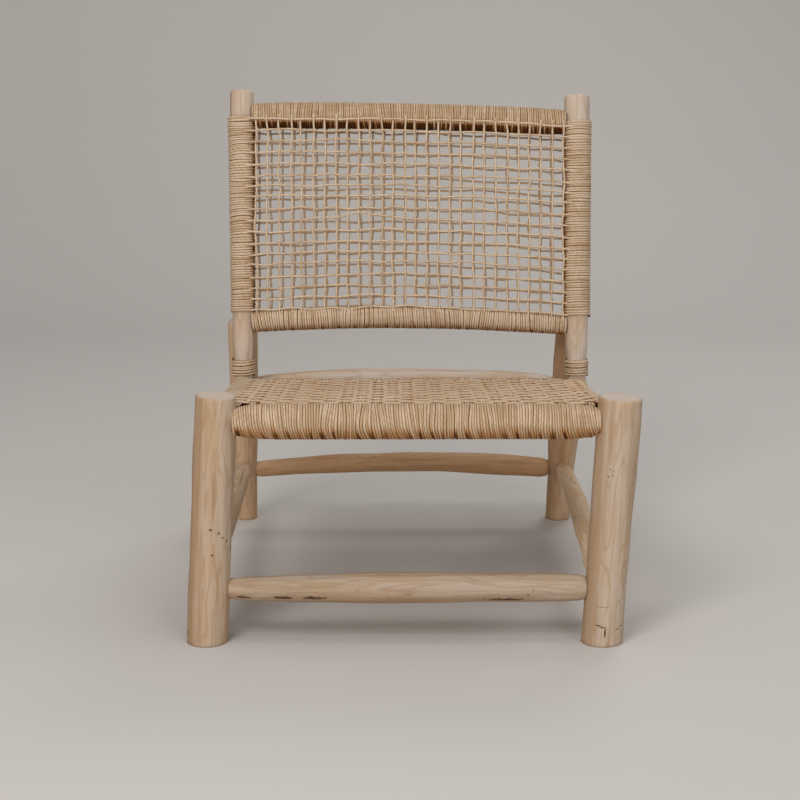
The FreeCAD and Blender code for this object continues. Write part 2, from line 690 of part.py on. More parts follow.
lower_heights = (lower_rail_left_height, lower_rail_right_height)
sides = ("left", "right")
leg_clearances = [leg.solid(weave_gap) for leg in front_legs]
solids = {
    "front_seat_rail": front_rail.solid(),
    "rear_seat_rail": rear_rail.solid(),
    "rear_leg_rail": leg_rail.solid(),
    "front_stretcher": front_stretcher.solid(),
    "rear_stretcher": rear_stretcher.solid(),
    "top_back_rail": top_rail.solid(),
    "lower_back_rail": lower_rail.solid(),
    "front_rail_wrap": sleeve(front_rail.branch, *front_wrap_span),
    "rear_rail_wrap": sleeve(rear_rail.branch, *rear_wrap_span),
    "top_rail_wrap": sleeve(top_rail.branch, *top_wrap_span),
    "lower_rail_wrap": sleeve(lower_rail.branch, *lower_wrap_span),
    "seat_weave": clear_of(seat_slab(0.0, seat_weave_thickness), leg_clearances),
    "seat_under_weave": clear_of(seat_slab((side_rail_radius + wrap_growth) * 2 - under_weave_thickness,
                                           under_weave_thickness), leg_clearances),
    "back_net_front": back_net(-1),
    "back_net_rear": back_net(1),
}
for end, side in enumerate(sides):
    rail = (side_rail_left, side_rail_right)[end]
    solids["front_leg_" + side] = front_leg_solid(front_legs[end], end)
    solids["rear_leg_" + side] = rear_leg_solid(rear_legs[end], end)
    solids["back_post_" + side] = post_solid(posts[end], end)
    solids["side_seat_rail_" + side] = side_rail_solid(rail, end)
    solids["side_stretcher_" + side] = (side_stretcher_left, side_stretcher_right)[end].solid()
    solids["side_rail_wrap_" + side] = sleeve(rail.branch, *side_wrap_span(rail))
    solids["post_wrap_" + side] = post_wrap(posts[end], lower_heights[end])
    solids["post_lashing_" + side] = lashing(posts[end])
    solids["leg_screw_" + side] = leg_screw(rear_legs[end], posts[end])

os.makedirs("parts", exist_ok=True)
for name, shape in solids.items():
    print("%-22s solids %d valid %s volume %.0f" % (name, len(shape.Solids), shape.isValid(), shape.Volume))
    shape.exportStep("parts/" + name + ".step")
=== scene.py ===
"""A low lounge chair of peeled branches and twisted cord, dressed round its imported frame."""

import logging
import math
import zlib
from dataclasses import dataclass, field
from enum import Enum
from typing import Sequence, Union

import bpy
import numpy as np
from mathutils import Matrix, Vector


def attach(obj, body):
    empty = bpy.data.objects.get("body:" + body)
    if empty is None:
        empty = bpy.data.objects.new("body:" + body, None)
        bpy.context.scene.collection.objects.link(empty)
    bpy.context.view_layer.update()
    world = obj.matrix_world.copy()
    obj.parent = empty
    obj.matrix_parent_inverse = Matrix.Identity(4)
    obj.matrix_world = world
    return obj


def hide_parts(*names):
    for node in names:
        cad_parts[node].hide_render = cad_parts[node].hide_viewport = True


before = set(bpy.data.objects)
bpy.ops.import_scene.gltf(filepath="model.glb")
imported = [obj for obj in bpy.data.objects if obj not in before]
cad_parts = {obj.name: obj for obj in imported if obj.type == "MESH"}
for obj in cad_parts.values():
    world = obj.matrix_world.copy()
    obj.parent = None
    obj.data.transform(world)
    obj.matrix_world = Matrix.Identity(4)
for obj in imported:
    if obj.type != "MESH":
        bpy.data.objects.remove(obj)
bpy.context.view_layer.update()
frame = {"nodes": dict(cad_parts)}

LOG = logging.getLogger("chair")
Point = tuple[float, float, float]
Shares = tuple[tuple[float, float], ...]
Scale = tuple[float, float]
Ramp = tuple[float, float, float, float]
Array = np.ndarray
Numbers = Union[float, Array]
TURN = 2 * math.pi

# Sizes that several sub-assemblies share, in metres
FRONT_Y = -0.33927
SEAT_FRONT_HEIGHT = 0.369
SEAT_FALL = 0.130833
SEAT_DEPTH = 0.48
POST_LEAN = math.radians(11.0)
BACK_NORMAL = np.array([0.0, math.cos(POST_LEAN), -math.sin(POST_LEAN)])
CORD = 0.0038
CORD_LIFT = 0.0003 + CORD / 2

RAIL_SHARES: Shares = (
    (0.0, 0.9), (0.04, 0.97), (0.12, 1.0), (0.5, 1.0), (0.88, 1.0), (0.96, 0.97), (1.0, 0.9))
SIDE_STRETCHER_SHARES: Shares = (
    (0.0, 0.7), (0.05, 0.86), (0.3, 0.97), (0.6, 1.0), (0.92, 0.87), (1.0, 0.7))


def seat_top(y: Numbers) -> Numbers:
    """Height of the woven face at a depth."""
    return SEAT_FRONT_HEIGHT - SEAT_FALL * (y - FRONT_Y)


def seed_of(name: str) -> int:
    """A number that is the same for a name in every run."""
    return zlib.crc32(name.encode())


def smooth(value: Numbers) -> Numbers:
    """Smooth step of values that are first held between 0 and 1."""
    held = np.clip(value, 0.0, 1.0)
    return held * held * (3 - 2 * held)


def unit(vectors: Array) -> Array:
    """Vectors scaled to length 1."""
    return vectors / np.maximum(np.linalg.norm(vectors, axis=-1, keepdims=True), 1e-12)


def add_object(name: str, data: bpy.types.ID) -> bpy.types.Object:
    """Makes an object of some data and links it to the scene."""
    made = bpy.data.objects.new(name, data)
    bpy.context.scene.collection.objects.link(made)
    return made


class Drift:
    """A smooth random line: a few seeded waves of different lengths."""

    def __init__(self, rng: np.random.Generator, waves: int, longest: float, shortest: float) -> None:
        """Draws the waves.

        Args:
            rng: Seeded source of the draws.
            waves: How many waves are added up.
            longest: Longest wavelength, in the unit of the line's argument.
            shortest: Shortest wavelength.
        """
        self.rates = TURN / np.exp(rng.uniform(math.log(shortest), math.log(longest), waves))
        self.phases = rng.uniform(0, TURN, waves)
        self.weights = rng.uniform(0.5, 1.0, waves)
        self.weights /= np.sqrt((self.weights ** 2).sum() / 2)

    def at(self, place: Array) -> Array:
        """The line's value at each place, of about unit size."""
        angles = np.asarray(place)[..., None] * self.rates + self.phases
        return (np.sin(angles) * self.weights).sum(-1)


class MeshDraft:
    """Vertices, faces and per-vertex values of one piece, gathered before the mesh is made."""

    def __init__(self) -> None:
        """Starts with nothing in it."""
        self.points: list[Array] = []
        self.quads: list[Array] = []
        self.caps: list[Array] = []
        self.values: dict[str, list[Array]] = {}
        self.count = 0

    def grid(self, points: Array, values: dict[str, Array], loop: bool = False) -> None:
        """Adds a tube of rings, with a flat face at each open end.

        Args:
            points: Rings x sides x 3 places; each ring closes on itself.
            values: Per-vertex values that can be spread over rings x sides x 3.
            loop: True if the last ring joins the first.
        """
        rings, sides = points.shape[:2]
        ids = np.arange(rings * sides).reshape(rings, sides) + self.count
        low = ids if loop else ids[:-1]
        high = np.roll(ids, -1, axis=0) if loop else ids[1:]
        quads = np.stack([low, np.roll(low, -1, axis=1), np.roll(high, -1, axis=1), high], axis=-1)
        self.quads.append(quads.reshape(-1, 4))
        if not loop:
            self.caps += [ids[0][::-1], ids[-1]]
        self.points.append(points.reshape(-1, 3))
        for name, value in values.items():
            self.values.setdefault(name, []).append(np.broadcast_to(value, points.shape).reshape(-1, 3))
        self.count += rings * sides

    def build(self, name: str, material: bpy.types.Material) -> bpy.types.Object:
        """Makes the mesh and its object.

        Args:
            name: The piece's name.
            material: Its finish.

        Returns:
            The new object, linked to the scene.
        """
        quads = np.concatenate(self.quads)
        corners = np.concatenate([quads.ravel()] + self.caps)
        sizes = np.concatenate([np.full(len(quads), 4), np.array([len(cap) for cap in self.caps], int)])
        starts = np.concatenate([[0], np.cumsum(sizes)[:-1]])
        mesh = bpy.data.meshes.new(name)
        mesh.vertices.add(self.count)
        mesh.vertices.foreach_set("co", np.concatenate(self.points).astype(np.float32).ravel())
        mesh.loops.add(len(corners))
        mesh.loops.foreach_set("vertex_index", corners.astype(np.int32))
        mesh.polygons.add(len(sizes))
        mesh.polygons.foreach_set("loop_start", starts.astype(np.int32))
        mesh.polygons.foreach_set("use_smooth", np.ones(len(sizes), bool))
        for key, parts in self.values.items():
            layer = mesh.attributes.new(key, "FLOAT_VECTOR", "POINT")
            layer.data.foreach_set("vector", np.concatenate(parts).astype(np.float32).ravel())
        mesh.update(calc_edges=True)
        mesh.validate()
        mesh.materials.append(material)
        return add_object(name, mesh)


class Sock:
    """One output socket or number of a shader, with arithmetic that adds Math nodes."""

    def __init__(self, recipe: "Recipe", value: Union[bpy.types.NodeSocket, float]) -> None:
        """Wraps a socket or a number of a recipe."""
        self.recipe = recipe
        self.value = value

    def _math(self, operation: str, *terms: "Term") -> "Sock":
        """A Math node on this value and others."""
        inputs = {index: term for index, term in enumerate((self, *terms))}
        return self.recipe.node("ShaderNodeMath", {"operation": operation}, inputs)

    def __add__(self, other: "Term") -> "Sock":
        """Sum."""
        return self._math("ADD", other)

    def __radd__(self, other: float) -> "Sock":
        """Sum with a number first."""
        return self._math("ADD", other)

    def __sub__(self, other: "Term") -> "Sock":
        """Difference."""
        return self._math("SUBTRACT", other)

    def __rsub__(self, other: float) -> "Sock":
        """Difference from a number."""
        return Sock(self.recipe, other)._math("SUBTRACT", self)

    def __mul__(self, other: "Term") -> "Sock":
        """Product."""
        return self._math("MULTIPLY", other)

    def __rmul__(self, other: float) -> "Sock":
        """Product with a number first."""
        return self._math("MULTIPLY", other)

    def __truediv__(self, other: "Term") -> "Sock":
        """Quotient."""
        return self._math("DIVIDE", other)

    def __pow__(self, other: float) -> "Sock":
        """Power."""
        return self._math("POWER", other)

    def __abs__(self) -> "Sock":
        """Absolute value."""
        return self._math("ABSOLUTE")

    def sine(self) -> "Sock":
        """Sine of an angle in radians."""
        return self._math("SINE")

    def angle_with(self, cosine: "Sock") -> "Sock":
        """Angle whose sine is this value and whose cosine is another."""
        return self._math("ARCTAN2", cosine)

    def ramp(self, low: float, high: float, first: float = 0.0, last: float = 1.0) -> "Sock":
        """Smooth change from one value to another while this one goes from low to high."""
        settings = {"interpolation_type": "SMOOTHSTEP"}
        inputs = {"Value": self, "From Min": low, "From Max": high, "To Min": first, "To Max": last}
        return self.recipe.node("ShaderNodeMapRange", settings, inputs)


Term = Union[Sock, float]
Value = Union[Term, Sequence[float]]


class Recipe:
    """The node tree of one finish."""

    def __init__(self, name: str) -> None:
        """Makes a material with its shader and nothing else."""
        self.material = bpy.data.materials.new(name)
        self.material.use_nodes = True
        self.tree = self.material.node_tree
        self.tree.nodes.clear()
        output = self.tree.nodes.new("ShaderNodeOutputMaterial")
        self.shader = self.tree.nodes.new("ShaderNodeBsdfPrincipled")
        self.tree.links.new(self.shader.outputs[0], output.inputs["Surface"])

    def feed(self, socket: bpy.types.NodeSocket, value: Value) -> None:
        """Links a socket to an input or sets the input's own value."""
        inner = value.value if isinstance(value, Sock) else value
        if isinstance(inner, bpy.types.NodeSocket):
            self.tree.links.new(inner, socket)
        else:
            socket.default_value = inner

    def node(self, kind: str, settings: dict[str, object], inputs: dict[Union[str, int], Value],
             output: Union[str, int] = 0) -> Sock:
        """Adds a node.

        Args:
            kind: The node's type.
            settings: Its own settings, set first.
            inputs: Links and values of its inputs, by name or place.
            output: The output that is wanted.

        Returns:
            That output.
        """
        made = self.tree.nodes.new(kind)
        for key, setting in settings.items():
            setattr(made, key, setting)
        for key, value in inputs.items():
            self.feed(made.inputs[key], value)
        return Sock(self, made.outputs[output])

    def attribute(self, name: str) -> Sock:
        """The vector that each vertex carries under a name."""
        return self.node("ShaderNodeAttribute", {"attribute_name": name}, {}, "Vector")

    def place(self) -> Sock:
        """The place in the object's own frame, in metres."""
        return self.node("ShaderNodeTexCoord", {}, {}, "Object")

    def split(self, vector: Sock) -> tuple[Sock, Sock, Sock]:
        """The three parts of a vector."""
        first = self.node("ShaderNodeSeparateXYZ", {}, {0: vector})
        outputs = first.value.node.outputs
        return first, Sock(self, outputs[1]), Sock(self, outputs[2])

    def join(self, x: Value, y: Value, z: Value) -> Sock:
        """A vector from three parts."""
        return self.node("ShaderNodeCombineXYZ", {}, {0: x, 1: y, 2: z})

    def noise(self, vector: Sock, scale: float, detail: float = 2.0, roughness: float = 0.5) -> Sock:
        """Fractal noise between 0 and 1."""
        inputs = {"Vector": vector, "Scale": scale, "Detail": detail, "Roughness": roughness}
        return self.node("ShaderNodeTexNoise", {}, inputs)

    def layers(self, color: Value, *over: tuple[Value, Value]) -> Value:
        """A colour with others laid over it.

        Args:
            color: The lowest colour.
            over: Factor and colour of each layer, in order.

        Returns:
            The colour on top.
        """
        for factor, second in over:
            color = self.node("ShaderNodeMix", {"data_type": "RGBA"}, {0: factor, 6: color, 7: second}, 2)
        return color

    def vector_math(self, operation: str, vector: Sock, second: Point, output: str = "Vector") -> Sock:
        """A Vector Math node on a vector and a fixed one."""
        return self.node("ShaderNodeVectorMath", {"operation": operation}, {0: vector, 1: second}, output)

    def finish(self, color: Value, roughness: Value, height: Sock, depth: float,
               **uniform: float) -> bpy.types.Material:
        """Feeds the shader.

        Args:
            color: Base colour.
            roughness: Roughness.
            height: Relief between about 0 and 1.
            depth: The relief's height in metres.
            uniform: Uniform values of other inputs, with _ for a space.

        Returns:
            The finished material.
        """
        normal = self.node("ShaderNodeBump", {}, {"Strength": 1.0, "Distance": depth, "Height": height})
        self.feed(self.shader.inputs["Base Color"], color)
        self.feed(self.shader.inputs["Roughness"], roughness)
        self.feed(self.shader.inputs["Normal"], normal)
        for key, value in uniform.items():
            self.shader.inputs[key.replace("_", " ")].default_value = value
        return self.material


class MarkKind(Enum):
    """Natural marks in peeled wood."""

    KNOT = "knot"
    STAIN = "stain"
    CRACK = "crack"


@dataclass(frozen=True)
class MarkStyle:
    """How ragged a kind of mark is, how far its relief sinks, and its rim's height in metres."""

    ragged: float
    sunk: float
    rim: float = 0.0


@dataclass(frozen=True)
class Mark:
    """One natural mark on a member.

    The place is an angle round the member in degrees and a distance along it from its start, in metres.
    """

    kind: MarkKind
    angle: float
    along: float
    width: float
    height: float
    depth: float


KNOT, STAIN, CRACK = MarkKind.KNOT, MarkKind.STAIN, MarkKind.CRACK
MARK_STYLES = {KNOT: MarkStyle(0.9, 1.6, 0.0011), STAIN: MarkStyle(2.4, 0.6), CRACK: MarkStyle(0.9, 1.6)}


def marked(*rows: tuple[MarkKind, float, float, float, float, float]) -> tuple[Mark, ...]:
    """Marks from rows of kind, angle, place along the member, width, height and depth."""
    return tuple(Mark(*row) for row in rows)


@dataclass(frozen=True)
class BranchWood:
    """Peeled, sanded and untreated branch: cream with tan streaks, flame grain and small knots.

    A scale is a noise's waves per metre across and along the grain. A ramp gives the two values of a
    pattern between which a tone changes, and the tone's strength below and above them.
    """

    pale: Point = (0.47, 0.36, 0.27)
    warm: Point = (0.44, 0.305, 0.19)
    # This tan is the wood's own streaks, and also painted shade on a member's darker side.
    streak_and_shade: Point = (0.33, 0.20, 0.105)
    knot: Point = (0.05, 0.025, 0.014)
    stain: Point = (0.04, 0.022, 0.012)
    end_grain: Point = (0.52, 0.445, 0.38)
    streak_scale: Scale = (90.0, 3.4)
    fibre_scale: Scale = (420.0, 16.0)
    cloud_scale: Scale = (26.0, 6.0)
    wander_scale: Scale = (26.0, 3.4)
    mark_scale: float = 260.0
    flame_count: float = 13.0
    flame_rate: float = 2.2
    darker_side_ragged: float = 2.2
    ring_count: float = 7.0
    ring_wander: float = 1.5
    warm_ramp: Ramp = (0.38, 0.62, 0.0, 0.95)
    streak_ramp: Ramp = (0.52, 0.7, 0.0, 0.76)
    flame_ramp: Ramp = (0.45, 1.0, 0.0, 0.42)
    fibre_ramp: Ramp = (0.45, 0.8, 0.0, 0.45)
    ring_ramp: Ramp = (-0.2, 1.0, 0.0, 0.4)
    rim_ramp: Ramp = (0.78, 0.95, 0.0, 0.4)
    mark_ramp: Ramp = (0.7, 1.1, 1.0, 0.0)
    halo_ramp: Ramp = (0.8, 2.3, 0.5, 0.0)
    mark_strength: float = 0.9
    relief_depth: float = 0.0006

    def material(self, limb: "Limb") -> bpy.types.Material:
        """The finish of one member, in its tint (on some members painted light and shade) and with its own
        marks.
        """
        recipe = Recipe("wood_" + limb.name)
        pale, warm, streak_and_shade = (tuple(np.multiply(color, limb.tint)) + (1,)
                              for color in (self.pale, self.warm, self.streak_and_shade))
        grain = recipe.attribute("grain")
        across, ahead, along = recipe.split(grain)
        face = recipe.split(recipe.attribute("face"))[0]
        shift = (seed_of(limb.name) % 1000) / 100

        def noise(scale: Scale, detail: float, roughness: float = 0.5) -> Sock:
            """Noise that is drawn out along the grain, at its own place in each member."""
            place = recipe.join(across * scale[0], ahead * scale[0], along * scale[1] + shift)
            return recipe.noise(place, 1.0, detail, roughness)

        streaks = noise(self.streak_scale, 4.0, 0.6)
        fibres = noise(self.fibre_scale, 3.0, 0.6)
        clouds = noise(self.cloud_scale, 2.0)
        wander = noise(self.wander_scale, 2.2)
        flame = ((wander * self.flame_count + along * self.flame_rate) * TURN).sine()
        # Darker side: the tan laid over one side of the member; on the stretchers it is painted shade
        # underneath.
        turned = math.radians(limb.darker_side[0])
        toward = (across * math.cos(turned) + ahead * math.sin(turned)) * (1 / limb.radius)
        darker_side = (toward + (streaks - 0.5) * self.darker_side_ragged).ramp(0.1, 1.1, 0.0, limb.darker_side[1])
        color = recipe.layers(pale, (clouds.ramp(*self.warm_ramp), warm), (darker_side, streak_and_shade),
                              (streaks.ramp(*self.streak_ramp), streak_and_shade),
                              (flame.ramp(*self.flame_ramp), streak_and_shade),
                              (fibres.ramp(*self.fibre_ramp), streak_and_shade))
        relief = fibres * 0.45 + streaks * 0.3 + clouds * 0.25
        reach = ((across * across + ahead * ahead) ** 0.5) * (1 / limb.radius)
        rings = ((reach * self.ring_count + wander * self.ring_wander) * TURN).sine()
        ends = recipe.layers((*self.end_grain, 1), (rings.ramp(*self.ring_ramp), warm),
                             (reach.ramp(*self.rim_ramp), streak_and_shade))
        color = recipe.layers(color, (face, ends))
        for mark in limb.marks:
            color, relief = self._marked(recipe, grain, limb, mark, color, relief)
        return recipe.finish(color, 0.62 + fibres * 0.14, relief, self.relief_depth, IOR=1.4)

    def _marked(self, recipe: Recipe, grain: Sock, limb: "Limb", mark: Mark, color: Sock,
                relief: Sock) -> tuple[Sock, Sock]:
        """Colour and relief with one mark in them."""
        style = MARK_STYLES[mark.kind]
        turned = math.radians(mark.angle)
        radius = float(limb.radius_at(mark.along / limb.length))
        ratio = mark.width / mark.height
        place = (radius * math.cos(turned), radius * math.sin(turned), mark.along * ratio)
        stretched = recipe.vector_math("MULTIPLY", grain, (1.0, 1.0, ratio))
        far = recipe.vector_math("DISTANCE", stretched, place, "Value") / (mark.width / 2)
        rough = far + (recipe.noise(grain, self.mark_scale, 3.0) - 0.5) * style.ragged
        inside = rough.ramp(*self.mark_ramp)
        tint = self.stain if mark.kind is STAIN else self.knot
        color = recipe.layers(color, (rough.ramp(*self.halo_ramp) * mark.depth, (*self.streak_and_shade, 1)),
                              (inside * (self.mark_strength * mark.depth), (*tint, 1)))
        return color, relief - inside * (style.sunk * mark.depth)


@dataclass(frozen=True)
class TwistedCord:
    """Light straw-coloured cord of two twisted plies, matte and a little hairy."""

    light: Point = (0.62, 0.485, 0.35)
    dark: Point = (0.44, 0.30, 0.18)
    # This colour is the cord's own specks, and painted shade in the creases between plies and on the flanks
    # between turns.
    speck_and_shade_brown: Point = (0.205, 0.08, 0.017)
    # Painted warm floor light on shaded undersides.
    bounce_amber: Point = (0.52, 0.255, 0.09)
    # Painted shade at the darkest places.
    deep_shade: Point = (0.085, 0.03, 0.007)
    lay: float = 0.0095
    fibre_scale: float = 900.0
    patch_scale: float = 38.0
    patch_ramp: Ramp = (0.3, 0.72, 0.0, 0.4)
    ply_ramp: Ramp = (0.0, 0.45, 0.2, 0.0)
    fibre_ramp: Ramp = (0.5, 0.8, 0.0, 0.3)
    speck_ramp: Ramp = (0.8, 1.0, 0.0, 0.4)
    bounce_amber_ramp: Ramp = (0.0, 0.7, 0.0, 0.8)
    relief_depth: float = 0.0004

    def material(self, name: str, shade: float = 0.0, groove: float = 0.9) -> bpy.types.Material:
        """The finish of one run of cord.

        Args:
            name: The run's name.
            shade: Painted shade over the whole run, as a share of darker straw; painted light where negative.
            groove: Painted shade on the flanks where turns lie side by side.

        Returns:
            The material.
        """
        recipe = Recipe("cord_" + name)
        light, dark, speck_and_shade_brown, bounce_amber, deep_shade = (
            (*color, 1) for color in (self.light, self.dark, self.speck_and_shade_brown, self.bounce_amber, self.deep_shade))
        cosine, sine, along = recipe.split(recipe.attribute("lay"))
        tone, speck, painted_shade = recipe.split(recipe.attribute("tone"))
        place = recipe.place()
        plies = abs((sine.angle_with(cosine) + along * (math.pi / self.lay)).sine())
        fibres = recipe.noise(place, self.fibre_scale, 3.0, 0.65)
        patches = recipe.noise(place, self.patch_scale, 3.0, 0.6)
        mix = tone * 0.55 + patches.ramp(*self.patch_ramp) + shade
        # Own tones, fibres and specks, with painted shade in ply creases, on turn flanks and at the darkest
        # places, and painted warm floor light.
        color = recipe.layers(light, (mix.ramp(0.1, 0.95), dark), (plies.ramp(*self.ply_ramp), speck_and_shade_brown),
                              (fibres.ramp(*self.fibre_ramp), dark), (speck.ramp(*self.speck_ramp), speck_and_shade_brown),
                              (painted_shade.ramp(*self.bounce_amber_ramp), bounce_amber),
                              ((sine - painted_shade * 0.8).ramp(0.0, 0.95, groove, 0.0), speck_and_shade_brown),
                              (painted_shade.ramp(0.5, 0.92), deep_shade))
        relief = plies.ramp(0.0, 0.6) * 0.55 + fibres * 0.35
        rough = 0.42 + fibres * 0.2 + painted_shade * 0.3
        return recipe.finish(color, rough, relief, self.relief_depth, Specular_IOR_Level=0.07)


@dataclass(frozen=True)
class ScrewSteel:
    """Zinc-plated steel of the two screws."""

    light: Point = (0.56, 0.56, 0.55)
    dark: Point = (0.392, 0.392, 0.385)

    def material(self) -> bpy.types.Material:
        """The finish of the screws."""
        recipe = Recipe("screw_steel")
        clouds = recipe.noise(recipe.place(), 300.0, 3.0)
        color = recipe.layers((*self.light, 1), (clouds, (*self.dark, 1)))
        return recipe.finish(color, clouds * 0.25 + 0.25, clouds, 0.0001, Metallic=1.0)


@dataclass(frozen=True)
class StudioPaint:
    """Plain pale floor and backdrop."""

    color: Point = (0.58, 0.555, 0.53)

    def material(self) -> bpy.types.Material:
        """The finish of the floor."""
        recipe = Recipe("studio_floor")
        clouds = recipe.noise(recipe.place(), 3.0, 2.0)
        near = tuple(part * 0.98 for part in self.color)
        color = recipe.layers((*self.color, 1), (clouds, (*near, 1)))
        return recipe.finish(color, 0.9, clouds, 0.0002)


@dataclass(frozen=True)
class Limb:
    """A round natural member along a straight or evenly bowed axis, in metres."""

    name: str
    start: Point
    end: Point
    radius: float
    shares: Shares
    bow: Point = (0.0, 0.0, 0.0)
    marks: tuple[Mark, ...] = ()
    # Tint: colour factor of the whole member; on some members it is painted light and painted shade, for how
    # light falls on them.
    tint: Point = (1.0, 1.0, 1.0)
    # Angle in degrees and strength of the member's darker side; on stretchers this is painted shade
    # underneath.
    darker_side: tuple[float, float] = (180.0, 0.0)

    @property
    def length(self) -> float:
        """Distance from the axis's start to its end."""
        return float(np.linalg.norm(np.subtract(self.end, self.start)))

    def at(self, t: Numbers) -> Array:
        """Points of the axis at shares of its length."""
        part = np.asarray(t)[..., None]
        run = np.subtract(self.end, self.start)
        return np.array(self.start) + run * part + np.array(self.bow) * (4 * part * (1 - part))

    def radius_at(self, t: Numbers) -> Array:
        """Radius at shares of the length."""
        part = np.clip(np.asarray(t, float), 0.0, 1.0)
        made = np.full(part.shape, self.shares[-1][1])
        for (low, first), (high, last) in zip(self.shares[::-1][1:], self.shares[::-1]):
            made = np.where(part <= high, first + (last - first) * smooth((part - low) / (high - low)), made)
        return made * self.radius

    def axes(self, t: Numbers) -> tuple[Array, Array]:
        """Directions across and ahead of the axis at shares of its length."""
        part = np.asarray(t)[..., None]
        along = unit(np.subtract(self.end, self.start) + np.array(self.bow) * (4 * (1 - 2 * part)))
        upright = abs(self.end[2] - self.start[2]) > 0.7 * self.length
        across = unit(np.cross(np.array([0.0, 1.0, 0.0] if upright else [0.0, 0.0, 1.0]), along))
        return across, np.cross(along, across)

    def share_at(self, axis: int, place: Numbers) -> Numbers:
        """Share of the length at which the unbowed axis reaches a place along X, Y or Z."""
        return (place - self.start[axis]) / (self.end[axis] - self.start[axis])

    def around(self, t: Array, angles: Array, distance: Array) -> Array:
        """Points at shares of the length, angles round the axis and distances from it."""
        across, ahead = self.axes(t)
        out = across * np.cos(angles)[..., None] + ahead * np.sin(angles)[..., None]
        return self.at(t) + out * distance[..., None]


